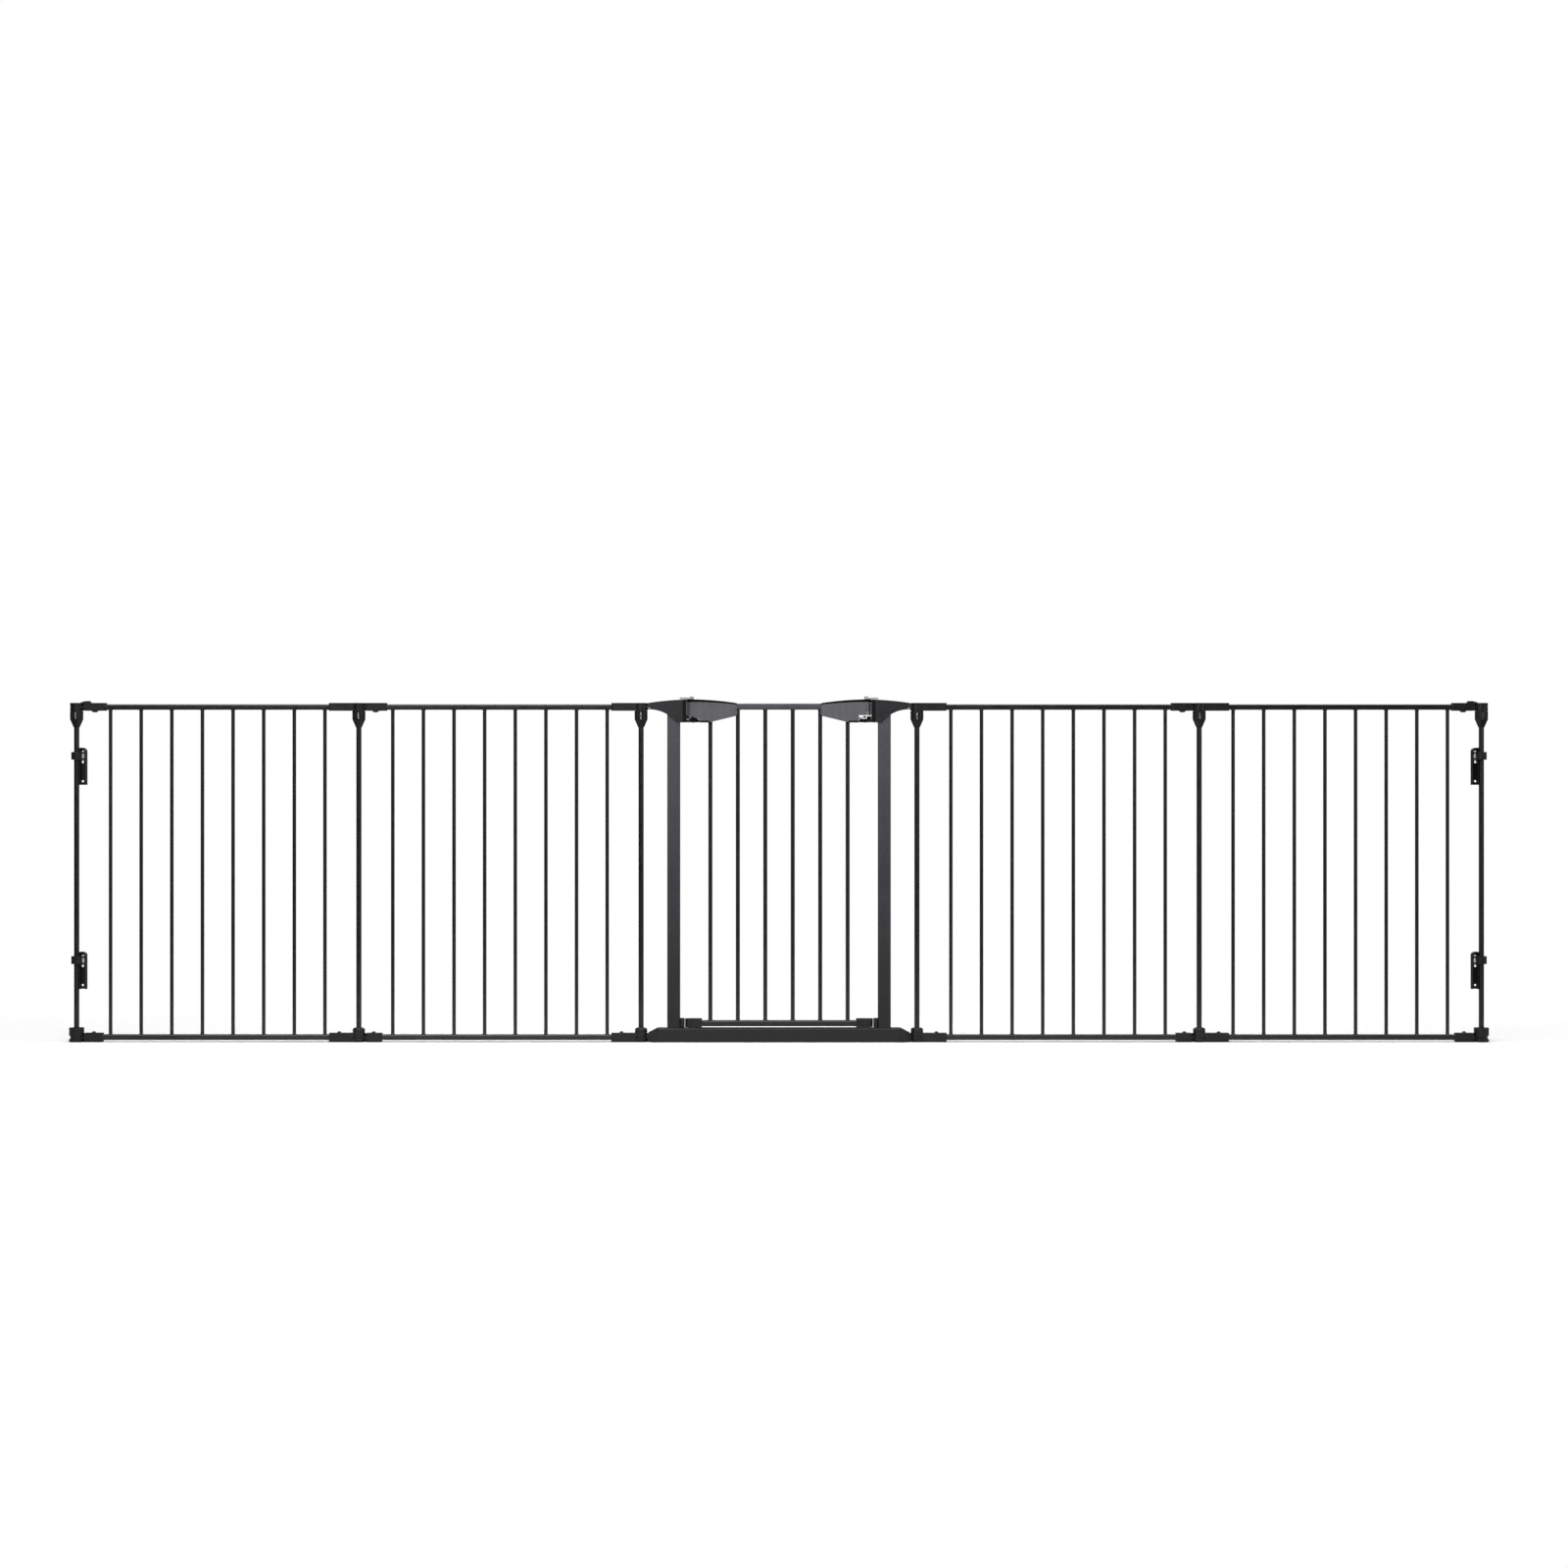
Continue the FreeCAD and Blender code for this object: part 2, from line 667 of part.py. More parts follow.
def lock_sleeve(name, pole):
    """A fluted sleeve that hides the joint's spring and is pulled down to free the fold."""
    top = top_arm_z - sleeve_gap
    shoulder = top - sleeve_straight
    low = shoulder - sleeve_taper
    bore = pole_r + sleeve_play
    cavity = hub_r - sleeve_wall
    floor = shoulder - sleeve_floor_drop
    body = new_body(name)
    sketch = new_sketch(body, "XZ_Plane")
    profile = [
        (bore, low),
        (sleeve_low_r, low),
        (hub_r, shoulder),
        (hub_r, top),
        (cavity, top),
        (cavity, shoulder),
        (cavity - sleeve_floor_inset, floor),
        (bore, floor),
    ]
    draw(sketch, profile)
    turned = body.newObject("PartDesign::Revolution", f"{name}_turned")
    turned.Profile = sketch
    turned.ReferenceAxis = (sketch, ["V_Axis"])
    turned.Angle = 360
    doc.recompute()

    flute = new_sketch(body, "XY_Plane", low)
    flute.addGeometry(Part.Circle(V(hub_r + flute_r / 2, 0, 0), V(0, 0, 1), float(flute_r)), False)
    edge = flute.addConstraint(Sketcher.Constraint("Radius", 0, float(flute_r)))
    flute.setExpression(f"Constraints[{edge}]", flute_r.formula)
    hold_point(flute, 0, 3, (hub_r + flute_r / 2, 0))
    groove = body.newObject("PartDesign::Pocket", f"{name}_flute")
    groove.Profile = flute
    groove.Reversed = True
    bind(groove, Length=sleeve_straight + sleeve_taper + 1)
    doc.recompute()
    around = body.newObject("PartDesign::PolarPattern", f"{name}_flutes")
    around.Originals = [groove]
    around.Axis = (flute, ["N_Axis"])
    around.Angle = 360
    around.Occurrences = int(flute_count)
    body.Tip = around
    put(body, pole)
    doc.recompute()

    window = box(
        f"{name}_window",
        (pole - sleeve_slot_wide / 2, pole + sleeve_slot_wide / 2),
        (-hub_r - 1, Size(0, "0")),
        span(shoulder - sleeve_slot_drop, sleeve_slot_high),
    )
    return cut(f"{name}_slotted", body, window)


def wall_bracket(name, pole, z):
    """A band round the end pole and the trough that screws to the wall, in one moulding."""
    low, high = z - trough_drop, z + trough_rise
    near, far = pole + trough_near, pole + trough_far
    outline = [
        (near, low),
        (far, low),
        (far, high - trough_round, trough_round),
        (far - trough_round, high),
        (near, high),
    ]
    trough = side_slab(f"{name}_trough", [outline], trough_back)
    front_y = (-trough_back - 1, -trough_front)
    front = box(f"{name}_front", (near - 1, far + 1), front_y, (low - 1, high + 1))
    inside = [
        (near + trough_wall, low - 1),
        (far - trough_wall, low - 1),
        (far - trough_wall, high - trough_round, trough_round - trough_wall),
        (far - trough_round, high - trough_wall),
        (near + trough_wall, high - trough_wall),
    ]
    hollow = side_slab(f"{name}_hollow", [inside], trough_back - trough_wall)
    band_z = (z - band_half, z + band_half)
    band = rod(f"{name}_band", band_r, band_z, pole)
    lug_x = (pole + trough_near, pole + trough_far - trough_wall)
    lug_y = (-trough_front, trough_back - trough_wall)
    upper_lug = box(f"{name}_upper_lug", lug_x, lug_y, span(z + band_half - lug_high, lug_high))
    lower_lug = box(f"{name}_lower_lug", lug_x, lug_y, span(z - band_half, lug_high))
    shell = cut(f"{name}_shell", trough, front, hollow)
    whole = fuse(f"{name}_solid", shell, band, upper_lug, lower_lug)
    bore = rod(f"{name}_bore", pole_r + sleeve_play, (low - 1, high + 1), pole)
    depth = (-trough_front - 1, trough_back + 1)
    screws_z = (low + screw_low, low + screw_low + screw_spacing)
    holes = [cross_rod(f"{name}_hole", screw_hole_r, pole + screw_at, depth, at) for at in screws_z]
    through = (z - band_half - 1, z + band_half + 1)
    bolt_hole = rod(f"{name}_bolt_hole", bolt_shank_r, through, pole + bolt_at)
    return cut(f"{name}_bracket", whole, bore, bolt_hole, *holes)


def bracket_bolt(name, pole, z):
    """The upright bolt that closes a bracket's band, with its head above and nut below."""
    at = pole + bolt_at
    low, high = z - band_half - bolt_head_high, z + band_half
    shank = rod(f"{name}_shank", bolt_shank_r, (low, high + bolt_head_high), at)
    head = rod(f"{name}_head", bolt_head_r, span(high, bolt_head_high), at)
    nut = rod(f"{name}_nut", bolt_head_r, span(low, bolt_head_high), at)
    return fuse(f"{name}_bolt", shank, head, nut)


def side_panels():
    """Both left panels with their poles, locks and brackets, and their right-hand twins."""
    inner, middle, end = -gate_half, -gate_half - panel_pitch, -gate_half - 2 * panel_pitch
    for ring, pole in (("inner", inner), ("outer", middle)):
        keep_pair(f"{ring}_rails", rails(ring, pole))
        keep_pair(f"{ring}_bars", panel_bars_between(ring, pole))
        keep_pair(f"{ring}_hub_arms", hub_arms(f"{ring}_hub_arms", pole))
    turning = pole_r + tongue_play
    reach = (tongue_reach_top, tongue_reach_low)
    inner_arms = tongue_arms("inner_tongue_arms", middle, *reach, tongue_studs_at, turning)
    keep_pair("inner_tongue_arms", inner_arms)
    ramp = thumb_ramp("end_thumb_ramp", end)
    reach = (end_reach_top, end_reach_low)
    spindle = spindle_r + tongue_play
    end_arms = tongue_arms("outer_tongue_arms", end, *reach, end_studs_at, spindle, [ramp])
    keep_pair("outer_tongue_arms", end_arms)
    pole_z = (pole_low, pole_high)
    for ring, pole in (("inner", inner), ("middle", middle), ("end", end)):
        keep_pair(f"{ring}_pole", round_tubes(f"{ring}_pole", pole_r, tube_wall, pole_z, [pole]))
        keep_pair(f"{ring}_lock_sleeve", lock_sleeve(f"{ring}_sleeve", pole))
    keep_pair("end_hubs", end_hubs("end_hubs", end))
    for level, z in (("upper", bracket_high_z), ("lower", bracket_low_z)):
        keep_pair(f"{level}_wall_bracket", wall_bracket(f"{level}_wall", end, z))
        keep_pair(f"{level}_bracket_bolt", bracket_bolt(f"{level}_wall", end, z))


# ---------------------------------------------------------------- fixed frame


def post():
    """The square steel tube beside the door."""
    low = (-post_mid - post_wide / 2, -post_wide / 2)
    high = (-post_mid + post_wide / 2, post_wide / 2)
    return upright_slab("post", tube_loops(low, high, post_round, tube_wall), (sill_high, post_top))


def sill():
    """The tube across the floor that joins the posts, with the hole for the lower hinge pin."""
    low = (-sill_half_depth, Size(0, "0"))
    high = (sill_half_depth, sill_high)
    tube = long_bar("sill_tube", tube_loops(low, high, rail_round, sill_wall), (-sill_half, sill_half))
    hole = rod("sill_hole", pin_r, (sill_high - sill_wall - 1, sill_high + 1), -pivot)
    return cut("sill", tube, hole)


def sill_end():
    """The plastic end of the sill: a plug, a sloping shoulder and the bottom tongue."""
    knuckle = -gate_half + tongue_start
    shoulder = [
        (knuckle, Size(0, "0")),
        (-sill_half, Size(0, "0")),
        (-sill_half, sill_high),
        (knuckle, sill_end_high),
    ]
    block = side_slab("sill_end_block", [shoulder], sill_half_depth)
    zero = Size(0, "0")
    sides = [
        box(f"sill_end_side_{n}", (knuckle - 1, -sill_end_step), y, (zero - 1, sill_high + 1))
        for n, y in enumerate(((-sill_half_depth - 1, -arm_half), (arm_half, sill_half_depth + 1)))
    ]
    narrowed = cut("sill_end_narrowed", block, *sides)
    inset = sill_wall + plug_play
    plug = box(
        "sill_end_plug",
        (-sill_half, -sill_half + sill_plug),
        (-sill_half_depth + inset, sill_half_depth - inset),
        (inset, sill_high - inset),
    )
    ring = tongue("sill_end", -gate_half, span(low_slot_z, low_slot_high), tongue_start)
    hole = rod("sill_end_hole", pole_r + tongue_play, span(low_slot_z, low_slot_high), -gate_half)
    return cut("sill_end", fuse("sill_end_solid", narrowed, plug, *ring), hole)


def post_cap():
    """The moulded gusset on a post, with the top tongue and the slot for the hinge plate."""
    knuckle = -gate_half + tongue_start
    top = top_arm_z + top_arm_high
    side = [
        (-cap_inner, cap_low),
        (-cap_inner, cap_high, cap_bulge_r),
        (knuckle, top),
        (knuckle, cap_under, -cap_hollow_r),
        (-cap_hollow_x, cap_hollow_z, -cap_foot_r),
        (-cap_foot_x, cap_low),
    ]
    block = side_slab("cap_block", [side], cap_half_depth)
    flare_x = (knuckle - 1, -cap_step)
    sides = [
        box(f"cap_side_{n}", flare_x, y, (cap_low, cap_high + 1))
        for n, y in enumerate(((-cap_half_depth - 1, -arm_half), (arm_half, cap_half_depth + 1)))
    ]
    narrowed = cut("cap_narrowed", block, *sides)
    ring = tongue("cap", -gate_half, span(top_slot_z, top_slot_high), tongue_start)
    hole = rod("cap_hole", pole_r + tongue_play, span(top_slot_z, top_slot_high), -gate_half)
    half = post_wide / 2
    seat = box("cap_seat", (-post_mid - half, -post_mid + half), (-half, half), (cap_low - 1, post_top))
    plate = box(
        "cap_plate_slot",
        (-plate_root, -cap_inner + 1),
        (-plate_half, plate_half),
        span(plate_low, plate_thick),
    )
    return cut("cap", fuse("cap_solid", narrowed, *ring), hole, seat, plate)


def plate(name):
    """A steel plate out of a cap's face, rounded about the pin that it carries."""
    z = span(plate_low, plate_thick)
    blade = box(f"{name}_blade", (-plate_root, -pivot), (-plate_half, plate_half), z)
    return [blade, rod(f"{name}_end", plate_half, z, -pivot)]


def hinge_bracket():
    """The upper hinge plate with its pin, which is necked for the lift lock."""
    lower = rod("hinge_pin_lower", pin_r, (plate_low, pin_neck_low), -pivot)
    neck = rod("hinge_pin_neck", pin_neck_r, (pin_neck_low, pin_neck_high), -pivot)
    head = rod("hinge_pin_head", pin_r, (pin_neck_high, pin_top), -pivot)
    return fuse("hinge_bracket", *plate("hinge_plate"), lower, neck, head)


def latch_keeper():
    """The plate on the latch post with the pin that the latch fork closes on."""
    pin = rod("keeper_pin", pin_r, (plate_low, keeper_top), -pivot)
    return mirrored("latch_keeper", fuse("keeper_left", *plate("keeper_plate"), pin))


def lower_hinge_pin():
    return rod("lower_hinge_pin", pin_r, (sill_high - sill_wall, low_pin_top), -pivot)


def stop_blocks():
    """The rounded blocks in the corners between the posts and the sill."""
    inner = -post_mid + post_wide / 2
    plan = rounded((inner, -arm_half), (inner + stop_thick, arm_half), arm_round)
    block = upright_slab("stop_block", [plan], span(sill_high, stop_high))
    return group("stop_blocks", block, mirrored("stop_block_right", block))


def fixed_frame():
    keep_pair("post", post())
    keep("threshold_bar", sill())
    keep_pair("threshold_end", sill_end())
    keep_pair("post_cap", post_cap())
    keep("hinge_bracket", hinge_bracket())
    keep("latch_keeper", latch_keeper())
    keep("lower_hinge_pin", lower_hinge_pin())
    keep("stop_blocks", stop_blocks())


# ---------------------------------------------------------------- door


def door_rail(name, half, z):
    section = tube_loops((-rail_depth / 2, z[0]), (rail_depth / 2, z[1]), rail_round, tube_wall)
    return long_bar(name, section, (-half, half))


def door_bar_places():
    """The bars' places along X, three on each side of the middle."""
    offsets = [i + 0.5 for i in range(door_bars_each_side)]
    return [door_bar_pitch * k for k in [-o for o in reversed(offsets)] + offsets]


def foot(name, seated):
    """The moulded block on an end of the bottom rail. A seated one holds the lower bush."""
    z = span(foot_low, foot_high)
    block = box(f"{name}_block", (-foot_outer + foot_half, -foot_inner), (-foot_half, foot_half), z)
    nose = rod(f"{name}_nose", foot_half, z, -foot_outer + foot_half)
    whole = fuse(f"{name}_solid", block, nose)
    rail = box(
        f"{name}_socket",
        (-door_low_half, -foot_inner + 1),
        (-rail_depth / 2, rail_depth / 2),
        span(door_low_z, door_low_high),
    )
    if not seated:
        return cut(name, whole, rail)
    bore = rod(f"{name}_bore", bush_seat, (foot_low - 1, low_bush_top + bush_headroom), -pivot)
    pin = rod(f"{name}_pin_bore", bush_bore, (foot_low - 1, foot_low + foot_high + 1), -pivot)
    return cut(name, whole, rail, bore, pin)


def shell_side(notch, inset):
    """A housing in elevation, drawn in by inset all round. Its outer corner is open up to notch."""
    outer = -pivot - shell_end_r + inset
    step = -shell_step + inset
    tip = -shell_tip - inset
    foot_z = shell_low + inset
    tip_low = shell_tip_low + inset
    tip_high = shell_tip_high - inset
    return [
        (outer, notch + inset),
        (step, notch + inset),
        (step, foot_z),
        (-shell_bend, foot_z),
        (tip - shell_tip_round, tip_low, shell_tip_curve),
        (tip, tip_low + shell_tip_round),
        (tip, tip_high - shell_tip_round, shell_tip_curve),
        (tip - shell_tip_round, tip_high, shell_arch_r),
        (outer, shell_high - inset),
    ]


def shell_plan(inset):
    """A housing in plan: half round about the pivot, and narrower at the tip."""
    wide = shell_end_r - inset
    narrow = shell_tip_half - inset
    tip = -shell_tip - inset
    return [
        (-pivot, -wide),
        (tip - shell_tip_round, -narrow, shell_tip_curve),
        (tip, -narrow + shell_tip_round),
        (tip, narrow - shell_tip_round, shell_tip_curve),
        (tip - shell_tip_round, narrow),
        (-pivot, wide),
    ]


def shell_block(name, notch, inset):
    """A housing's outer form, or its hollow if drawn in by the wall's thickness."""
    z = (shell_low - 1, shell_high + 1)
    side = side_slab(f"{name}_side", [shell_side(notch, inset)], shell_end_r)
    plan = upright_slab(f"{name}_plan", [shell_plan(inset)], z)
    end = rod(f"{name}_round_end", shell_end_r - inset, z, -pivot)
    return common(f"{name}_form", side, fuse(f"{name}_footprint", plan, end))


def housing(name, notch, extras, bores):
    """A housing before it is parted: a shell, open for the rail, the bars and the slider."""
    outer = shell_block(f"{name}_outer", notch, Size(0, "0"))
    inner = shell_block(f"{name}_inner", notch, shell_wall)
    shell = cut(f"{name}_shell", outer, inner)
    whole = fuse(f"{name}_whole", shell, *extras) if extras else shell
    half = rail_depth / 2
    rail_x = (-door_top_half, -shell_tip + 1)
    rail = box(f"{name}_rail", rail_x, (-half, half), span(door_top_z, door_top_high))
    bar_z = (shell_low - 1, door_top_z + 1)
    bars = [rod(f"{name}_bar", door_bar_r, bar_z, x) for x in door_bar_places() if x < -shell_tip + 1]
    slot = box(
        f"{name}_slot",
        (-web_outer - slider_travel - web_play, -web_inner + web_play),
        (-web_half - web_play, web_half + web_play),
        (shell_high - shell_wall * 2, shell_high + 2),
    )
    return cut(f"{name}_open", whole, rail, slot, *bars, *bores)


def halves(name, whole):
    """The front and rear shells of a housing, parted in the plane y = 0."""
    x = (-pivot - shell_end_r - 2, -shell_tip + 2)
    z = (shell_low - 2, shell_high + 2)
    deep = shell_end_r + 2
    zero = Size(0, "0")
    front = common(f"{name}_front_half", whole, box(f"{name}_front_space", x, (-deep, zero), z))
    rear = common(f"{name}_rear_half", whole, box(f"{name}_rear_space", x, (zero, deep), z))
    return front, rear


def hinge_housing():
    """The left housing, with a boss for the upper bush."""
    boss = rod("hinge_boss", boss_r, (hinge_notch, boss_top), -pivot)
    bore = rod("hinge_boss_bore", bush_seat, (hinge_notch - 1, boss_top + 1), -pivot)
    return housing("hinge_housing", hinge_notch, [boss], [bore])


def latch_housing():
    """The right housing, built on the left, with the window that the latch fork leaves through."""
    window = box(
        "latch_window",
        (-shell_step - 1, -shell_step + shell_wall + 1),
        (-fork_half - web_play, fork_half + web_play),
        (window_low, window_high),
    )
    return housing("latch_housing", latch_notch, [], [window])


def slider(name, fork_z, beam_z, slot_half):
    """A thumb tab over the housing, its web and beam inside, and the fork that closes on a pin."""
    tab = box(f"{name}_tab", (-tab_outer, -tab_inner), (-tab_half, tab_half), span(tab_low, tab_thick))
    grip = box(
        f"{name}_grip",
        (-tab_inner - grip_long, -tab_inner),
        (-tab_half, tab_half),
        span(tab_low + tab_thick, grip_high),
    )
    web_y = (-web_half, web_half)
    web = box(f"{name}_web", (-web_outer, -web_inner), web_y, (beam_z, tab_low))
    beam = box(f"{name}_beam", (-web_inner, -riser_inner), web_y, span(beam_z, beam_thick))
    low, high = fork_z, beam_z + beam_thick
    riser = box(f"{name}_riser", (-riser_outer, -riser_inner), web_y, (low, high))
    fork_y = (-fork_half, fork_half)
    fork = box(f"{name}_fork", (-fork_tip, -riser_inner), fork_y, span(low, beam_thick))
    root = -pivot + slider_travel
    gap_z = (low - 1, low + beam_thick + 1)
    gap = box(f"{name}_gap", (-fork_tip - 1, root), (-slot_half, slot_half), gap_z)
    gap_end = rod(f"{name}_gap_end", slot_half, gap_z, root)
    tines = cut(f"{name}_tines", fork, gap, gap_end)
    return fuse(name, tab, grip, web, beam, riser, tines)


def bush(name, z, high, flange):
    """A flanged nylon bush on a hinge pin."""
    sleeve = rod(f"{name}_sleeve", bush_r, (z, high), -pivot)
    rim = rod(f"{name}_flange", flange_r, span(z, flange), -pivot)
    hole = rod(f"{name}_bore", bush_bore, (z - 1, high + 1), -pivot)
    return cut(name, fuse(f"{name}_solid", sleeve, rim), hole)


def door():
    top_z = span(door_top_z, door_top_high)
    low_z = span(door_low_z, door_low_high)
    keep("door_top_rail", door_rail("door_top_rail", door_top_half, top_z))
    keep("door_bottom_rail", door_rail("door_low_rail", door_low_half, low_z))
    bar_z = (door_low_z + door_low_high, door_top_z)
    keep("door_bars", round_tubes("door_bars", door_bar_r, tube_wall, bar_z, door_bar_places()))
    latch_foot = mirrored("latch_foot", foot("latch_foot_left", False))
    keep("door_feet", group("door_feet", foot("hinge_foot", True), latch_foot))
    front, rear = halves("hinge_housing", hinge_housing())
    keep("hinge_housing_front", front)
    keep("hinge_housing_rear", rear)
    front, rear = halves("latch_housing", latch_housing())
    keep("latch_housing_front", mirrored("latch_front", front))
    keep("latch_housing_rear", mirrored("latch_rear", rear))
    plate_top = plate_low + plate_thick
    upper_bush = bush("upper_bush", plate_top, bush_top, flange_high)
    lower_bush = bush("lower_bush", sill_high, low_bush_top, low_flange_high)
    keep("hinge_bushes", group("hinge_bushes", upper_bush, lower_bush))
    lift_lock = slider("hinge_slider", lift_fork_z, lift_beam_z, pin_neck_r + fork_play)
    keep("hinge_slider", lift_lock)
    latch = slider("latch_slider_left", latch_fork_z, latch_beam_z, pin_r + fork_play)
    keep("latch_slider", mirrored("latch_slider", latch))


# ---------------------------------------------------------------- check and write


def faults():
    """Every object that failed to build, and every sub-part that isn't sound."""
    found = [f"{o.Label}: {o.State}" for o in doc.Objects if {"Invalid", "Error"} & set(o.State)]
    for piece in pieces:
        shape = piece.Shape
        if shape.isNull() or not shape.isValid() or not shape.Solids:
            found.append(f"{piece.Label}: no sound solid")
        elif min(s.Volume for s in shape.Solids) < VALID_VOLUME:
            found.append(f"{piece.Label}: a sliver of a solid")
    return found


def write():
    os.makedirs("parts", exist_ok=True)
    for piece in pieces:
        piece.Shape.exportStep(f"parts/{piece.Label}.step")
        size = piece.Shape.BoundBox
        print(
            f"{piece.Label:28s} solids {len(piece.Shape.Solids)}"
            f"  x {size.XMin:8.1f} {size.XMax:8.1f}  y {size.YMin:6.1f} {size.YMax:6.1f}"
            f"  z {size.ZMin:6.1f} {size.ZMax:6.1f}  {piece.Shape.Volume / 1000:8.2f} cm3"
        )


side_panels()
fixed_frame()
door()
doc.recompute()
problems = faults()
if problems:
    raise SystemExit("\n".join(problems))
write()
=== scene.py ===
"""The looks of the folding safety gate: finishes, softened edges and the small hardware.

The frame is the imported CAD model, in metres, with +X along the gate and +Z up. The door hangs
on the left. Every piece is made where it lies at rest and rides on a body of the frame.
"""
import json
import math

import bmesh
import bpy
from mathutils import Matrix, Vector, noise
from mathutils.bvhtree import BVHTree


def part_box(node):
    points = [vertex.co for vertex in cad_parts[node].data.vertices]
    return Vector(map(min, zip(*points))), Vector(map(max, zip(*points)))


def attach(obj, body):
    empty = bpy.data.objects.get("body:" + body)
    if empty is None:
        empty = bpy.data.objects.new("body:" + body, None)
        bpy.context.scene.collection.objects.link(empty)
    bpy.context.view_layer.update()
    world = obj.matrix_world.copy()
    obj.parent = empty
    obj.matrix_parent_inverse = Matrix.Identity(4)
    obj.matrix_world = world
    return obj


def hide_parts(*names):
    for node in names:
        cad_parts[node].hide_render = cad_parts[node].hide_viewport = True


MM = 0.001
TURN = 2 * math.pi
SIDES = (("left", -1), ("right", 1))
RINGS = ("inner", "middle", "end")

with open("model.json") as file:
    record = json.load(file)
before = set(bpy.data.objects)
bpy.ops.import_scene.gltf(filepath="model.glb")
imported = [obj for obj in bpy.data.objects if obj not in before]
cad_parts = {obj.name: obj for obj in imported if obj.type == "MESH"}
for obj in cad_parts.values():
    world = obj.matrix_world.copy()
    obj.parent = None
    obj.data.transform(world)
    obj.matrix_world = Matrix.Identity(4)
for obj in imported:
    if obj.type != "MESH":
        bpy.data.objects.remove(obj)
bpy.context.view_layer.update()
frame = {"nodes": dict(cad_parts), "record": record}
nodes = frame["nodes"]


# ------------------------------------------------------------------ shader helpers


class Shader:
    """A material's node tree, with short calls to add and link nodes."""

    def __init__(self, name):
        self.material = bpy.data.materials.new(name)
        self.material.use_nodes = True
        self.tree = self.material.node_tree
        self.main = self.tree.nodes["Principled BSDF"]
        self.place = self.node("ShaderNodeTexCoord").outputs["Object"]

    def node(self, kind, **settings):
        made = self.tree.nodes.new(kind)
        for key, value in settings.items():
            setattr(made, key, value)
        return made

    def feed(self, socket, value):
        """Link an output to a socket, or set a plain value on it."""
        if isinstance(value, bpy.types.NodeSocket):
            self.tree.links.new(value, socket)
        else:
            socket.default_value = value

    def height(self):
        """The height over the floor, in metres."""
        split = self.node("ShaderNodeSeparateXYZ")
        self.feed(split.inputs[0], self.place)
        return split.outputs["Z"]

    def math(self, kind, first, second=0.0, clamp=False):
        made = self.node("ShaderNodeMath", operation=kind, use_clamp=clamp)
        self.feed(made.inputs[0], first)
        self.feed(made.inputs[1], second)
        return made.outputs[0]

    def stretch(self, scale):
        """Object coordinates, scaled differently along each axis."""
        made = self.node("ShaderNodeMapping")
        self.feed(made.inputs["Vector"], self.place)
        made.inputs["Scale"].default_value = scale
        return made.outputs["Vector"]

    def noise(self, scale, detail=2.0, vector=None, rough=0.5):
        made = self.node("ShaderNodeTexNoise")
        self.feed(made.inputs["Vector"], vector or self.place)
        made.inputs["Scale"].default_value = scale
        made.inputs["Detail"].default_value = detail
        made.inputs["Roughness"].default_value = rough
        return made.outputs["Fac"]

    def cells(self, scale):
        made = self.node("ShaderNodeTexVoronoi")
        self.feed(made.inputs["Vector"], self.place)
        made.inputs["Scale"].default_value = scale
        return made.outputs["Distance"]

    def spread(self, value, low, high, out_low=0.0, out_high=1.0):
        made = self.node("ShaderNodeMapRange", clamp=True)
        self.feed(made.inputs["Value"], value)
        for socket, number in zip(made.inputs[1:5], (low, high, out_low, out_high)):
            socket.default_value = number
        return made.outputs["Result"]

    def mix(self, factor, first, second):
        made = self.node("ShaderNodeMix", data_type="RGBA")
        self.feed(made.inputs[0], factor)
        self.feed(made.inputs[6], first if isinstance(first, bpy.types.NodeSocket) else rgba(first))
        self.feed(made.inputs[7], second if isinstance(second, bpy.types.NodeSocket) else rgba(second))
        return made.outputs[2]

    def bump(self, height, strength, distance, under=None):
        made = self.node("ShaderNodeBump")
        made.inputs["Strength"].default_value = strength
        made.inputs["Distance"].default_value = distance
        self.feed(made.inputs["Height"], height)
        if under is not None:
            self.feed(made.inputs["Normal"], under)
        return made.outputs["Normal"]

    def edges(self, radius, low, high):
        """1 along an outer edge and 0 on a flat face."""
        soft = self.node("ShaderNodeBevel", samples=4)
        soft.inputs["Radius"].default_value = radius
        true = self.node("ShaderNodeNewGeometry").outputs["Normal"]
        dot = self.node("ShaderNodeVectorMath", operation="DOT_PRODUCT")
        self.feed(dot.inputs[0], soft.outputs["Normal"])
        self.feed(dot.inputs[1], true)
        bent = self.math("SUBTRACT", 1.0, dot.outputs["Value"])
        return self.spread(bent, low, high)

    def finish(self, color, rough, normal=None, **plain):
        self.feed(self.main.inputs["Base Color"], color)
        self.feed(self.main.inputs["Roughness"], rough)
        if normal is not None:
            self.feed(self.main.inputs["Normal"], normal)
        for key, value in plain.items():
            self.main.inputs[key.replace("_", " ")].default_value = value
        return self.material


def rgba(color):
    return (*color, 1.0)


def shade(color, factor):
    return tuple(min(1.0, c * factor) for c in color)


def lifted(color, amount):
    """A colour with some grey added, as where a dark finish is rubbed."""
    return tuple(min(1.0, c + amount) for c in color)


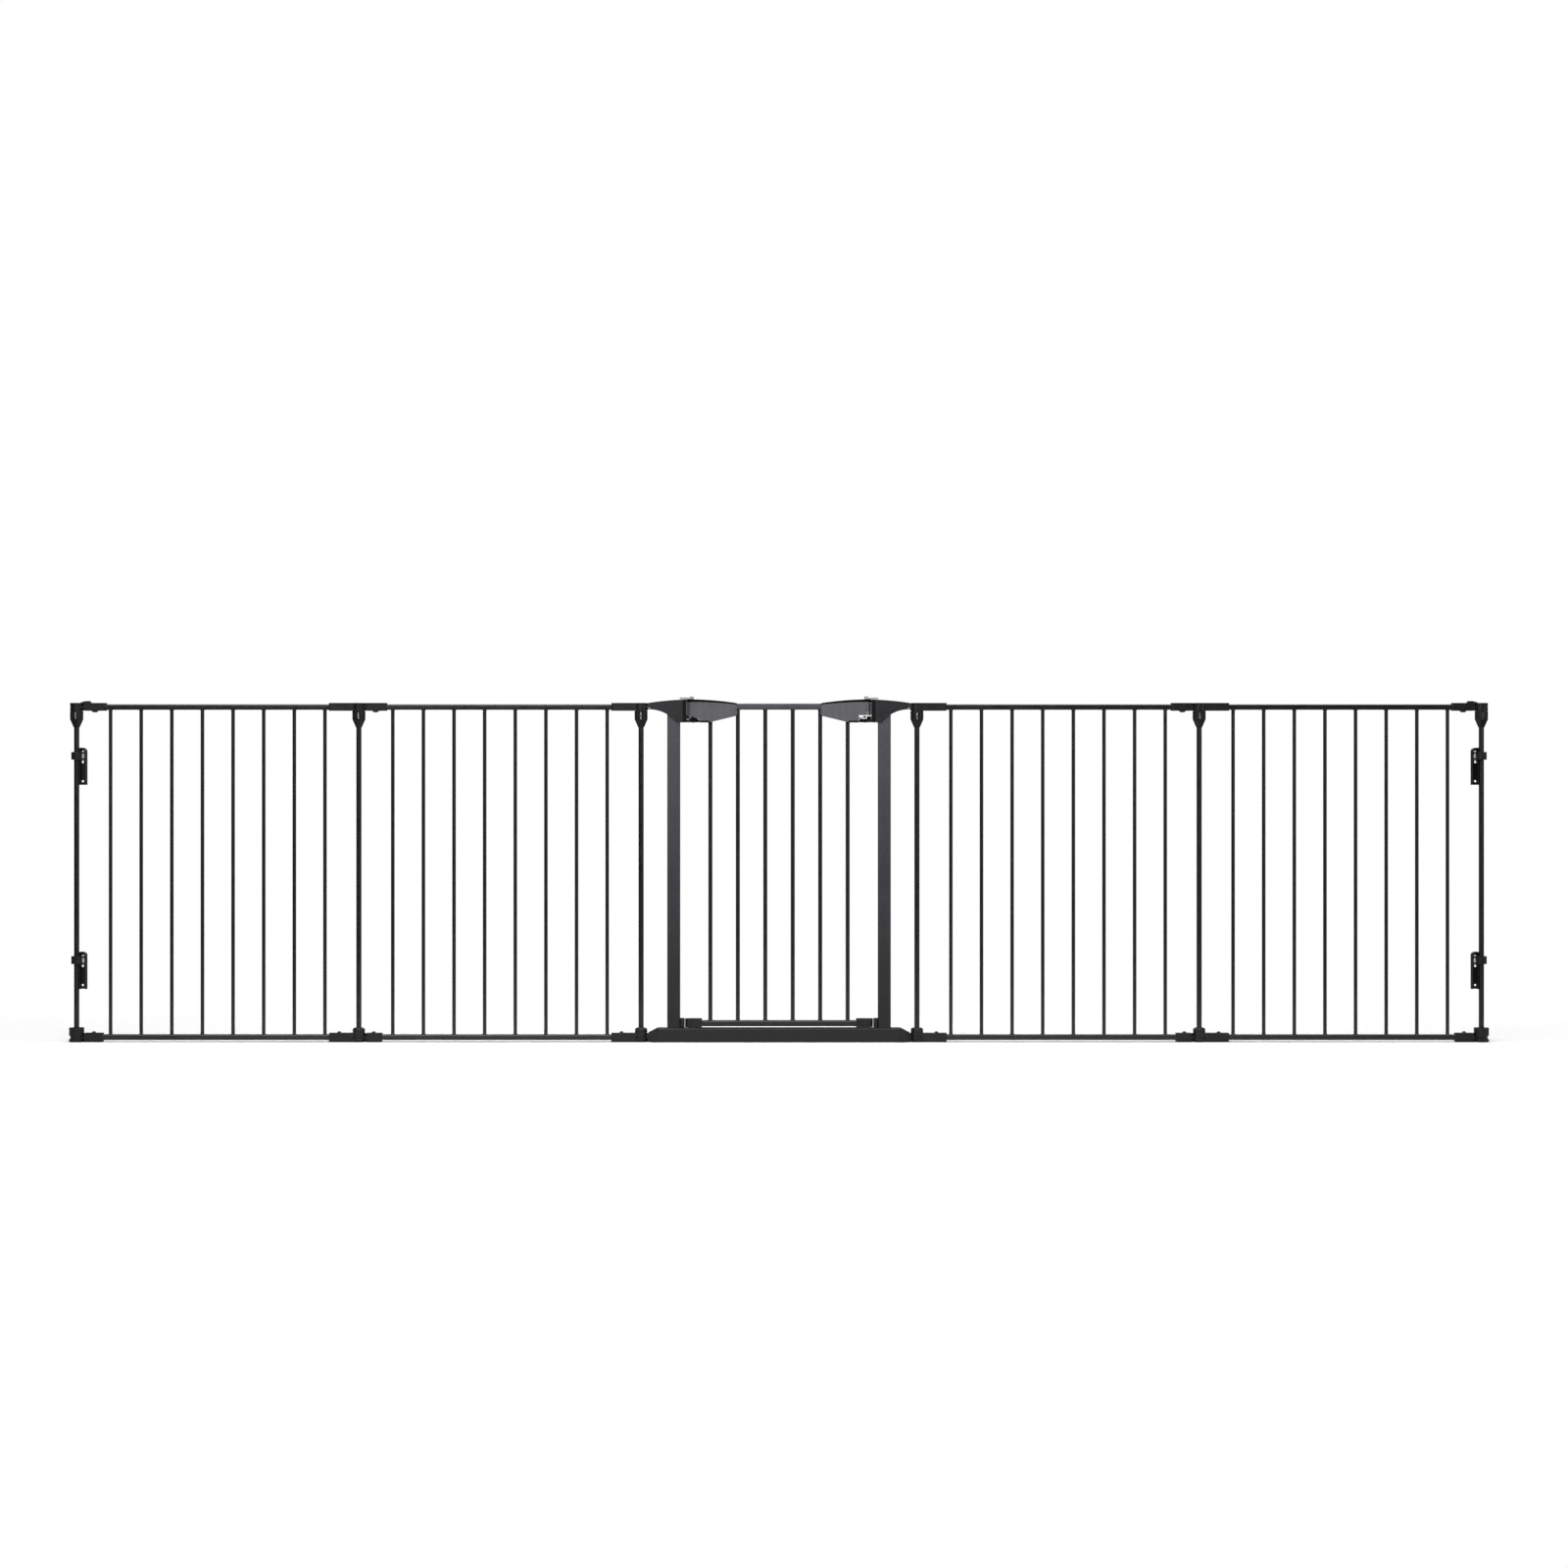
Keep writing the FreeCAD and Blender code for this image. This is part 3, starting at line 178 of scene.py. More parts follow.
def powder_coat(name, color, rough, gleam, streaks, painted_floor_shade=1.0):
    """Baked powder paint: orange peel, faint clouds, and a thinner, smoother film on the edges.
    The last argument is painted shade: how dark the paint is at the floor, next to the top."""
    s = Shader(name)
    clouds = s.spread(s.noise(9.0, 3.0), 0.35, 0.65)
    drawn = s.spread(s.noise(1.0, 3.0, s.stretch((70.0, 70.0, 2.5))), 0.35, 0.7)
    base = s.mix(clouds, shade(color, 0.86), shade(color, 1.1))
    base = s.mix(s.math("MULTIPLY", drawn, streaks), base, shade(color, 1.5))
    # Painted shade: the paint grows darker from the top down to the floor.
    if painted_floor_shade < 1:
        low = s.spread(s.height(), 0.05, 0.7, 1.0, 0.0)
        base = s.mix(low, base, shade(color, painted_floor_shade))
    specks = s.spread(s.cells(2600.0), 0.02, 0.12, 1.0, 0.0)
    base = s.mix(s.math("MULTIPLY", specks, 0.35), base, lifted(color, 0.015))
    worn = s.math("MULTIPLY", s.edges(0.0009, 0.02, 0.2), s.spread(s.noise(160.0, 3.0), 0.35, 0.7))
    base = s.mix(s.math("MULTIPLY", worn, 0.55), base, lifted(color, 0.06))
    gloss = s.spread(s.noise(38.0, 3.0), 0.3, 0.7, rough - 0.05, rough + 0.07)
    finish = s.math("SUBTRACT", gloss, s.math("MULTIPLY", worn, 0.08))
    peel = s.bump(s.noise(520.0, 2.0), 0.4, 0.00016)
    grit = s.bump(s.noise(2600.0, 1.0), 0.16, 0.00005, peel)
    return s.finish(base, finish, grit, Specular_IOR_Level=gleam)


def moulded(name, color, rough, grain, gleam=0.42, streaks=0.0, top=None):
    """Injection-moulded plastic: spark-eroded grain, faint flow marks, and rubbed edges.
    top is the colour of the faces that look up, where they differ."""
    s = Shader(name)
    flow = s.spread(s.noise(1.0, 4.0, s.stretch((26.0, 26.0, 7.0))), 0.3, 0.7)
    base = s.mix(flow, shade(color, 0.88), shade(color, 1.12))
    if streaks:
        drawn = s.spread(s.noise(1.0, 3.0, s.stretch((120.0, 40.0, 9.0))), 0.42, 0.72)
        base = s.mix(s.math("MULTIPLY", drawn, streaks), base, shade(color, 1.45))
    if top is not None:
        split = s.node("ShaderNodeSeparateXYZ")
        s.feed(split.inputs[0], s.node("ShaderNodeNewGeometry").outputs["Normal"])
        base = s.mix(s.spread(split.outputs["Z"], 0.5, 0.75), base, top)
    worn = s.math("MULTIPLY", s.edges(0.0007, 0.03, 0.25), s.spread(s.noise(210.0, 3.0), 0.35, 0.7))
    base = s.mix(s.math("MULTIPLY", worn, 0.45), base, lifted(color, 0.05))
    finish = s.spread(s.noise(60.0, 3.0), 0.3, 0.7, rough - 0.05, rough + 0.06)
    eroded = s.bump(s.cells(1900.0), 0.22 * grain, 0.00006)
    fine = s.bump(s.noise(900.0, 3.0), 0.25 * grain, 0.00008, eroded)
    return s.finish(base, finish, fine, Specular_IOR_Level=gleam)


def zinc(name, color, rough):
    """Zinc-plated steel: a faint spangle, drawn scratches and duller hollows."""
    s = Shader(name)
    spangle = s.spread(s.cells(420.0), 0.1, 0.6)
    base = s.mix(spangle, shade(color, 0.82), color)
    dull = s.spread(s.noise(95.0, 4.0), 0.4, 0.75)
    base = s.mix(s.math("MULTIPLY", dull, 0.5), base, shade(color, 0.6))
    finish = s.spread(s.noise(240.0, 3.0), 0.3, 0.7, rough - 0.07, rough + 0.12)
    marks = s.bump(s.noise(1.0, 3.0, s.stretch((900.0, 900.0, 120.0))), 0.2, 0.00004)
    return s.finish(base, finish, marks, Metallic=0.6)


def nylon(name, color):
    """Pale, slightly see-through plastic, as of a bush."""
    s = Shader(name)
    base = s.mix(s.spread(s.noise(70.0, 3.0), 0.3, 0.7), shade(color, 0.9), color)
    finish = s.spread(s.noise(300.0, 2.0), 0.3, 0.7, 0.32, 0.46)
    made = s.finish(base, finish, s.bump(s.noise(1500.0, 2.0), 0.15, 0.00004))
    s.main.inputs["Subsurface Weight"].default_value = 0.15
    s.main.inputs["Subsurface Radius"].default_value = (0.0012, 0.001, 0.0008)
    return made


PANEL = powder_coat("panel_powder_coat", (0.004, 0.004, 0.0047), rough=0.33, gleam=0.5, streaks=0.2)
# The frame's coat carries painted shade, darker towards the floor.
FRAME = powder_coat("frame_powder_coat", (0.055, 0.054, 0.065), rough=0.5, gleam=0.34, streaks=0.3, painted_floor_shade=0.1)
BLACK = moulded("black_moulding", (0.005, 0.005, 0.0058), rough=0.44, grain=1.0, gleam=0.34)
TRIM = moulded("trim_moulding", (0.0022, 0.0022, 0.0026), rough=0.5, grain=0.6, gleam=0.14)
CAP = moulded("cap_moulding", (0.0085, 0.0085, 0.0115), rough=0.46, grain=1.0, gleam=0.38)
HOUSING_SIDE, HOUSING_TOP = (0.088, 0.088, 0.1), (0.006, 0.006, 0.007)
HOUSING = moulded("housing_moulding", HOUSING_SIDE, rough=0.44, grain=0.5, streaks=0.3, top=HOUSING_TOP)
SLIDER = moulded("slider_moulding", (0.36, 0.36, 0.37), rough=0.4, grain=0.5)
DOT = moulded("mark_moulding", (0.03, 0.03, 0.034), rough=0.45, grain=0.5)
ZINC = zinc("zinc_plate", (0.86, 0.86, 0.88), rough=0.3)
DULL_ZINC = zinc("dull_zinc_plate", (0.42, 0.42, 0.44), rough=0.4)
NYLON = nylon("white_nylon", (0.72, 0.71, 0.67))

SLOT_LOOKS = {
    "panel_coat": PANEL,
    "frame_coat": FRAME,
    "black_plastic": BLACK,
    "cap_plastic": CAP,
    "housing_plastic": HOUSING,
    "slider_plastic": SLIDER,
    "zinc_steel": ZINC,
    "nylon": NYLON,
}


# ------------------------------------------------------------------ CAD nodes

# The edge softening of each kind of node, in mm, by the end of the node's name
SOFTENED = {
    "_arms": 1.1,
    "_hubs": 0.9,
    "_lock_sleeve": 0.35,
    "_wall_bracket": 0.6,
    "_post": 0.4,
    "threshold_bar": 0.4,
    "_threshold_end": 1.2,
    "_post_cap": 1.3,
    "hinge_bracket": 0.4,
    "latch_keeper": 0.4,
    "lower_hinge_pin": 0.5,
    "stop_blocks": 1.6,
    "_feet": 1.2,
    "_front": 0.45,
    "_rear": 0.45,
    "_slider": 0.8,
    "_bushes": 0.3,
}

WELD_WITHIN = 0.00001
SHARP_CAD = math.radians(40)
SHARP_PIECE = math.radians(35)


def dress_node(name, node, slot):
    """Give a CAD node its finish, and soften its sharp edges."""
    mesh = node.data
    if not mesh.materials:
        mesh.materials.append(None)
    for place in node.material_slots:
        place.material = SLOT_LOOKS[slot]
    mesh.polygons.foreach_set("use_smooth", [True] * len(mesh.polygons))
    weld = node.modifiers.new("weld", "WELD")
    weld.merge_threshold = WELD_WITHIN
    width = next((w for end, w in SOFTENED.items() if name.endswith(end)), 0)
    if width:
        bevel = node.modifiers.new("soft_edges", "BEVEL")
        bevel.width = width * MM
        bevel.segments = 3
        bevel.limit_method = "ANGLE"
        bevel.angle_limit = SHARP_CAD
        bevel.miter_outer = "MITER_ARC"
    normals = node.modifiers.new("even_normals", "WEIGHTED_NORMAL")
    normals.keep_sharp = True


for part in frame["record"]["subparts"]:
    dress_node(part["node"], nodes[part["node"]], part["material_slot"])


# ------------------------------------------------------------------ mesh helpers


class Piece:
    """A mesh built from several bits of geometry, then placed on a body."""

    def __init__(self):
        self.points = []
        self.faces = []

    def add(self, points, faces, matrix=None):
        start = len(self.points)
        self.points += [matrix @ Vector(p) if matrix else Vector(p) for p in points]
        self.faces += [tuple(start + i for i in face) for face in faces]

    def put(self, name, body, slot, material=None, bevel=0.0):
        """Make the mesh and let it ride on a body. bevel is in mm."""
        mesh = bpy.data.meshes.new(name)
        mesh.from_pydata([tuple(p) for p in self.points], [], self.faces)
        work = bmesh.new()
        work.from_mesh(mesh)
        bmesh.ops.recalc_face_normals(work, faces=work.faces)
        work.to_mesh(mesh)
        work.free()
        mesh.polygons.foreach_set("use_smooth", [True] * len(mesh.polygons))
        mesh.materials.append(material or SLOT_LOOKS[slot])
        made = bpy.data.objects.new(name, mesh)
        bpy.context.scene.collection.objects.link(made)
        if bevel:
            soft = made.modifiers.new("soft_edges", "BEVEL")
            soft.width = bevel * MM
            soft.segments = 2
            soft.limit_method = "ANGLE"
            soft.angle_limit = SHARP_PIECE
        made.modifiers.new("even_normals", "WEIGHTED_NORMAL")
        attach(made, body)
        return made


def ring_faces(rings, sides, closed_ends=True, loop=False):
    """Faces that join equal rings of points, one after the other."""
    faces = []
    for r in range(rings if loop else rings - 1):
        here, there = r * sides, (r + 1) % rings * sides
        for i in range(sides):
            j = (i + 1) % sides
            faces.append((here + i, here + j, there + j, there + i))
    if closed_ends and not loop:
        faces.append(tuple(reversed(range(sides))))
        faces.append(tuple(range((rings - 1) * sides, rings * sides)))
    return faces


def lathe(profile, sides, ripple=None, loop=False):
    """A turned form about +Z: profile is (radius, height) in mm."""
    points = []
    for n, (radius, height) in enumerate(profile):
        for i in range(sides):
            a = TURN * i / sides
            r = radius + (ripple(n, a) if ripple else 0)
            points.append((r * math.cos(a) * MM, r * math.sin(a) * MM, height * MM))
    return points, ring_faces(len(profile), sides, not loop, loop)


def prism(outline, low, high):
    """An outline in mm, raised from low to high along +Z."""
    points = [(x * MM, y * MM, z * MM) for z in (low, high) for x, y in outline]
    return points, ring_faces(2, len(outline))


def tube_along(path, radius, sides):
    """A round wire along points in metres, with flat closed ends."""
    points = []
    for i, here in enumerate(path):
        before, after = path[max(i - 1, 0)], path[min(i + 1, len(path) - 1)]
        ahead = (after - before).normalized()
        side = ahead.cross(Vector((0, 0, 1))).normalized()
        up = side.cross(ahead)
        for k in range(sides):
            a = TURN * k / sides
            points.append(here + (side * math.cos(a) + up * math.sin(a)) * radius)
    return points, ring_faces(len(path), sides)


def at(x, y, z, facing="up"):
    """A place in mm. A form made about +Z is turned to face up, down, front or back."""
    turns = {
        "up": Matrix.Identity(4),
        "down": Matrix.Rotation(math.pi, 4, "X"),
        "front": Matrix.Rotation(math.pi / 2, 4, "X"),
        "back": Matrix.Rotation(-math.pi / 2, 4, "X"),
    }
    return Matrix.Translation((x * MM, y * MM, z * MM)) @ turns[facing]


def box_mm(node):
    """The low and high corner of a node's box, in mm."""
    low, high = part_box(node)
    return low / MM, high / MM


# ------------------------------------------------------------------ weld beads

# The levels of a weld bead: radius beyond the bar's, height, and how uneven it is there
BEAD = ((-0.4, -0.3, 0.2), (1.9, -0.12, 1.0), (1.25, 0.45, 0.9), (0.5, 1.0, 0.5), (-0.3, 1.9, 0.15))
BEAD_LUMP = 0.55
BEAD_RIPPLE = 0.07
BEAD_RIPPLES = 9
TOP_SEED = 40.5  # keeps the beads at a bar's top unlike those at its foot


def bead(bar_r, seed):
    """A small fillet of weld round a bar, on a face at height 0, uneven as a weld is."""

    def ripple(level, angle):
        where = Vector((math.cos(angle) * 2.2, math.sin(angle) * 2.2, seed * 3.7))
        lump = noise.noise(where) * BEAD_LUMP
        return (lump + math.sin(angle * BEAD_RIPPLES + seed) * BEAD_RIPPLE) * BEAD[level][2]

    return lathe([(bar_r + beyond, height) for beyond, height, _ in BEAD], 24, ripple)


def weld_beads(bars, count, name, body, slot):
    """The beads at both ends of a row of equal bars."""
    low, high = box_mm(bars)
    radius = (high.y - low.y) / 2
    pitch = (high.x - low.x - 2 * radius) / (count - 1)
    piece = Piece()
    for i in range(count):
        x = low.x + radius + pitch * i
        piece.add(*bead(radius, i + low.x), at(x, 0, low.z))
        piece.add(*bead(radius, i + TOP_SEED + low.x), at(x, 0, high.z, "down"))
    piece.put(name, body, slot)


PANEL_BARS = 8
DOOR_BARS = 6
for side, _ in SIDES:
    for panel in ("inner", "outer"):
        name = f"{side}_{panel}"
        weld_beads(f"{name}_bars", PANEL_BARS, f"{name}_weld_beads", f"{name}_panel", "panel_coat")
weld_beads("door_bars", DOOR_BARS, "door_weld_beads", "door", "panel_coat")


# ------------------------------------------------------------------ turned and wound forms


def hexagon(across):
    """The radius of a hexagon at an angle, for a hexagon that wide across its flats."""
    return lambda a: across / 2 / math.cos(a % (math.pi / 3) - math.pi / 6)


def cross(long, wide):
    """The radius of a cross recess at an angle, for arms that long and that wide."""

    def radius(a):
        tilt = (a + math.pi / 4) % (math.pi / 2) - math.pi / 4
        return min(long / math.cos(tilt), wide / 2 / max(abs(math.sin(tilt)), 0.001))

    return radius


def turned(levels, sides=24):
    """A turned form from (radius, height) in mm, where a radius may be a function of the angle."""

    def add(level, angle):
        radius = levels[level][0]
        return radius(angle) if callable(radius) else radius

    return lathe([(0, height) for _, height in levels], sides, add)


def screw_head(radius, high):
    """A pan head with a cross recess, on a face at height 0."""
    return turned(
        [
            (radius * 0.96, -0.3),
            (radius, 0.1 * high),
            (radius * 0.97, 0.45 * high),
            (radius * 0.84, 0.8 * high),
            (radius * 0.62, high),
            (cross(radius * 0.5, radius * 0.26), high),
            (cross(radius * 0.36, radius * 0.16), 0.35 * high),
        ],
        48,
    )


def ring(inner, outer, low, high):
    """A flat ring with rounded shoulders."""
    soft = (high - low) * 0.35
    profile = [
        (inner, low),
        (outer, low),
        (outer, high - soft),
        (outer - soft, high),
        (inner + soft, high),
        (inner, high - soft),
    ]
    return lathe(profile, 40, loop=True)


STEPS_A_TURN = 18
CLOSED_TURN = 0.8  # how much of a turn lies flat at each end of a coil


def helix(radius, low, high, turns, wire):
    """A coil spring about +Z, in mm, with its end turns closed up and lying flat."""
    steps = STEPS_A_TURN * turns
    path = []
    for i in range(steps + 1):
        k = i / steps
        a = TURN * turns * k
        rise = min(1.0, max(0.0, (k * turns - CLOSED_TURN) / (turns - 2 * CLOSED_TURN)))
        path.append(Vector((radius * math.cos(a), radius * math.sin(a), low + (high - low) * rise)) * MM)
    return tube_along(path, wire * MM, 8)


def middle_x(node):
    """Where the middle of a node is along the gate, in mm."""
    low, high = box_mm(node)
    return (low.x + high.x) / 2


# ------------------------------------------------------------------ lock springs

SPRING_R = 10.5
SPRING_WIRE = 0.95
SPRING_TURNS = 8
SPRING_OFF_FLOOR = 0.2
SPRING_UNDER_TOP = 0.6
SLEEVE_SHOULDER = 18.5  # from the top of a lock sleeve down to the floor that its spring stands on


def lock_spring(joint):
    """The coil spring inside a joint's lock sleeve, round its pole."""
    top = box_mm(f"{joint}_lock_sleeve")[1].z
    low = top - SLEEVE_SHOULDER + SPRING_WIRE + SPRING_OFF_FLOOR
    high = top - SPRING_WIRE - SPRING_UNDER_TOP
    coil = Piece()
    pole = at(middle_x(f"{joint}_pole"), 0, 0)
    coil.add(*helix(SPRING_R, low, high, SPRING_TURNS, SPRING_WIRE), pole)
    coil.put(f"{joint}_lock_spring", f"{joint}_lock", "zinc_steel")


for side, _ in SIDES:
    for joint_ring in RINGS:
        lock_spring(f"{side}_{joint_ring}")


# ------------------------------------------------------------------ bolts of the wall brackets

BOLT_FLATS = 6.8
BOLT_SHANK_R = 2.45
BOLT_HEAD = 3.2
BOLT_CHAMFER_R = 3.3
WASHER_R = 3.95
WASHER_THICK = 0.6
LUG_TO_SPACER = 3.2
SPACER_R = 3.3
SPACER_RIM_R = 3.6


def bracket_bolt(side, level):
    """A hex bolt, its washers, its spacer barrel and its nut, in place of the plain CAD bolt."""
    node = f"{side}_{level}_bracket_bolt"
    low, high = box_mm(node)
    top = (high.z - low.z) / 2
    hexed = hexagon(BOLT_FLATS)
    lug = top - BOLT_HEAD
    spacer = lug - LUG_TO_SPACER
    nut = [
        (BOLT_SHANK_R * 0.8, -top),
        (BOLT_SHANK_R, -top + 0.35),
        (BOLT_CHAMFER_R - 0.2, -top + 0.4),
        (hexed, -top + 0.8),
        (hexed, -lug - WASHER_THICK),
        (WASHER_R, -lug - WASHER_THICK),
        (WASHER_R, -lug),
        (BOLT_SHANK_R, -lug),
    ]
    low_rim = [
        (BOLT_SHANK_R, -spacer),
        (SPACER_RIM_R - 0.15, -spacer),
        (SPACER_RIM_R, -spacer + 0.4),
        (SPACER_RIM_R, -spacer + 1.3),
        (SPACER_R, -spacer + 1.5),
    ]
    high_rim = [(radius, -height) for radius, height in reversed(low_rim)]
    head = [
        (BOLT_SHANK_R, lug),
        (WASHER_R, lug),
        (WASHER_R, lug + WASHER_THICK),
        (hexed, lug + WASHER_THICK),
        (hexed, top - 0.4),
        (BOLT_CHAMFER_R, top),
        (2.1, top),
        (1.8, top - 0.35),
    ]
    bolt = Piece()
    middle = (low + high) / 2
    bolt.add(*turned(nut + low_rim + high_rim + head, 36), at(*middle))
    made = bolt.put(f"{side}_{level}_bolt_and_barrel", f"{side}_{level}_bracket", "zinc_steel", bevel=0.12)
    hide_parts(node)


for side, _ in SIDES:
    for level in ("upper", "lower"):
        bracket_bolt(side, level)


# ------------------------------------------------------------------ trims of the door's housings

PROUD = 0.4
SUNK = 0.5
TIP_FLAT = 5.0  # from the tip to where the straight sides start
TIP_HALF = 10.6  # half the depth there
TIP_ROUND = 7.0  # the radius of the tip's corners in plan
CORNER_AT = (6.77, -3.83)  # the corner's centre, from the tip and from the middle plane
CORNER_FROM = 194.6  # degrees in plan, where the corner's arc leaves the tip
CORNER_SWEEP = 60.8  # degrees that it turns through
CORNER_STEPS = 7


class Housing:
    """A housing's outline in plan, walked from the tip along the front, round the end and back.
    out is -1 for the left housing and +1 for the right: the way its round end points."""

    def __init__(self, name, out):
        self.name = name
        self.out = out
        front, rear = box_mm(f"{name}_front"), box_mm(f"{name}_rear")
        self.end_r = rear[1].y
        ends = sorted((abs(front[0].x), abs(front[1].x)))
        self.tip = ends[0]
        self.pivot = ends[1] - self.end_r
        self.low, self.high = front[0].z, front[1].z
        self.trees = []
        for half in ("front", "rear"):
            mesh = nodes[f"{name}_{half}"].data
            corners = [v.co for v in mesh.vertices]
            self.trees.append(BVHTree.FromPolygons(corners, [p.vertices for p in mesh.polygons]))

    def side_y(self, x):
        """Half the depth at a distance x from the middle of the gate."""
        share = (x - self.tip - TIP_FLAT) / (self.pivot - self.tip - TIP_FLAT)
        return TIP_HALF + (self.end_r - TIP_HALF) * min(1.0, max(0.0, share))

    def stations(self, near, far, sweep=None):
        """Places (x, y) and outward normals on the front, from near to far, and round the end
        as far as the angle sweep, from 0 at the front to pi at the back."""
        lean = (self.end_r - TIP_HALF) / (self.pivot - self.tip - TIP_FLAT)
        flat = Vector((-lean, -1)).normalized()
        count = max(2, int((far - near) / 6) + 1)
        places = [near + (far - near) * i / (count - 1) for i in range(count)]
        walk = [((x, -self.side_y(x)), flat) for x in places]
        if sweep:
            steps = max(2, int(sweep / math.radians(6)))
            for i in range(1, steps + 1):
                a = sweep * i / steps
                normal = Vector((math.sin(a), -math.cos(a)))
                walk.append(((self.pivot + normal.x * self.end_r, normal.y * self.end_r), normal))
        return walk

    def corner(self):
        """Places and normals on the rounded front corner of the tip, up to the straight side."""
        centre = Vector((self.tip + CORNER_AT[0], CORNER_AT[1]))
        walk = []
        for i in range(CORNER_STEPS):
            a = math.radians(CORNER_FROM + CORNER_SWEEP * i / CORNER_STEPS)
            normal = Vector((math.cos(a), math.sin(a)))
            walk.append((tuple(centre + normal * TIP_ROUND), normal))
        return walk

    def top(self, x, y):
        """The height of the housing's top under a place."""
        start = Vector((x * self.out, y, self.high + 50)) * MM
        hits = [tree.ray_cast(start, Vector((0, 0, -1)))[0] for tree in self.trees]
        return max((hit.z / MM for hit in hits if hit), default=self.high)

    def strip(self, piece, walk, lows, highs, proud=PROUD, back=False):
        """A strip that stands proud of the wall along a walk, between two heights at each place."""
        points = []
        for ((x, y), normal), low, high in zip(walk, lows, highs):
            outer = Vector((x, y)) + normal * proud
            inner = Vector((x, y)) - normal * SUNK
            soft = Vector((x, y)) + normal * proud * 0.35
            for spot, z in ((inner, low), (outer, low), (outer, high - 0.3), (soft, high), (inner, high)):
                turned_y = -spot.y if back else spot.y
                points.append((spot.x * self.out * MM, turned_y * MM, z * MM))
        piece.add(points, ring_faces(len(walk), 5))


PIVOT = 188.5  # the hinge and keeper pins, from the middle of the gate
LIP_AT_END = 5.8
LIP_AT_TIP = 3.0
LIP_UNDER_TOP = 0.05
TOP_PROBE = 1.2  # how far inside the edge the height of the top is taken
NOTCH_SLOPE_TO = 181.5
PATCH_LOW = 0.15
PATCH_THIN = 0.6
PATCH_SLOPE = 8.0 / 21.0
PATCH_SINK = 0.15
FOOT_SPAN = (153.5, 175.6)  # the level foot of a housing, from the middle of the gate
# The foot strip is painted shade along the bottom edge: how far up it starts, and how high it is
SHADE_STRIP_UP = 0.1
SHADE_STRIP_HIGH = 3.6
QUARTER = math.pi / 2


def housing_trim(housing, notch):
    """The black lip along the top, the patch over the notch, and the foot strip, a black strip that is
    painted shade along the housing's level bottom edge.
    """
    trim = Piece()
    walk = housing.corner() + housing.stations(housing.tip + TIP_FLAT, housing.pivot, QUARTER)
    probes = [(x - n.x * TOP_PROBE, y - n.y * TOP_PROBE) for (x, y), n in walk]
    tops = [housing.top(x, y) - LIP_UNDER_TOP for x, y in probes]
    lows = []
    for ((x, _), _), top in zip(walk, tops):
        share = min(1.0, (x - housing.tip) / (housing.pivot - housing.tip))
        lip = LIP_AT_TIP + (LIP_AT_END - LIP_AT_TIP) * share
        lows.append(top - lip)
    patch = housing.stations(NOTCH_SLOPE_TO, housing.pivot, QUARTER)
    patch_low = notch + PATCH_LOW
    highs = [patch_low + PATCH_THIN + PATCH_SLOPE * (x - NOTCH_SLOPE_TO) for (x, _), _ in patch]
    foot = housing.stations(*FOOT_SPAN)
    shade_strip_low = housing.low + SHADE_STRIP_UP
    for back in (False, True):
        housing.strip(trim, walk, lows, tops, back=back)
        if housing.name == "hinge_housing":
            housing.strip(trim, patch, [patch_low] * len(patch), highs, PROUD - PATCH_SINK, back)
        # The foot strip: a black band of painted shade along the bottom edge
        housing.strip(trim, foot, [shade_strip_low] * len(foot), [shade_strip_low + SHADE_STRIP_HIGH] * len(foot), back=back)
    trim.put(f"{housing.name}_trim", "door", "black_plastic", TRIM)


def smoothed(route, rounds=3):
    """A route with its corners cut again and again, until it is a smooth bend."""
    for _ in range(rounds):
        cut = [route[0]]
        for a, b in zip(route, route[1:]):
            cut += [a.lerp(b, 0.25), a.lerp(b, 0.75)]
        route = cut + [route[-1]]
    return route


# The bends of a spring clip on the unrolled round end: the length round it, and the height over the notch
CLIP_BENDS = ((12.4, -1.5), (9.4, 0.4), (4.6, 3.4), (7.2, 5.6), (11.6, 5.2), (15.0, 6.6))
CLIP_HALF_WIDE = 0.9
CLIP_LOW = 0.05  # the two faces of the strip, out from the round end
CLIP_HIGH = 0.6


def spring_clip(housing, notch):
    """A bent strip of spring steel that hooks out of the notch and lies on the round end."""
    route = smoothed([Vector((length, notch + rise)) for length, rise in CLIP_BENDS])
    corners = ((1, CLIP_LOW), (1, CLIP_HIGH), (-1, CLIP_HIGH), (-1, CLIP_LOW))
    points = []
    for n, here in enumerate(route):
        run = (route[min(n + 1, len(route) - 1)] - route[max(n - 1, 0)]).normalized()
        across = Vector((-run.y, run.x)) * CLIP_HALF_WIDE
        for side, level in corners:
            spot = here + across * side
            turn = spot.x / housing.end_r
            radius = housing.end_r + level
            x = (housing.pivot + math.sin(turn) * radius) * housing.out
            points.append((x * MM, -math.cos(turn) * radius * MM, spot.y * MM))
    piece = Piece()
    piece.add(points, ring_faces(len(route), 4))
    piece.put(f"{housing.name}_spring_clip", "door", "zinc_steel", DULL_ZINC, bevel=0.12)


# The screws of a rear shell: the place along the gate and the height
REAR_SCREWS = ((170, 716), (172, 742), (118, 733))


def rear_screws(housing):
    """Three sunk screws hold the rear shell to the front one. Each sits in a raised ring."""
    screws, rings = Piece(), Piece()
    for x, z in REAR_SCREWS:
        y = housing.side_y(x)
        rings.add(*ring(2.7, 3.7, -0.3, 0.45), at(x * housing.out, y, z, "back"))
        screws.add(*screw_head(2.6, 0.9), at(x * housing.out, y - 0.25, z, "back"))
    screws.put(f"{housing.name}_screws", "door", "zinc_steel")
    rings.put(f"{housing.name}_screw_rings", "door", "housing_plastic")


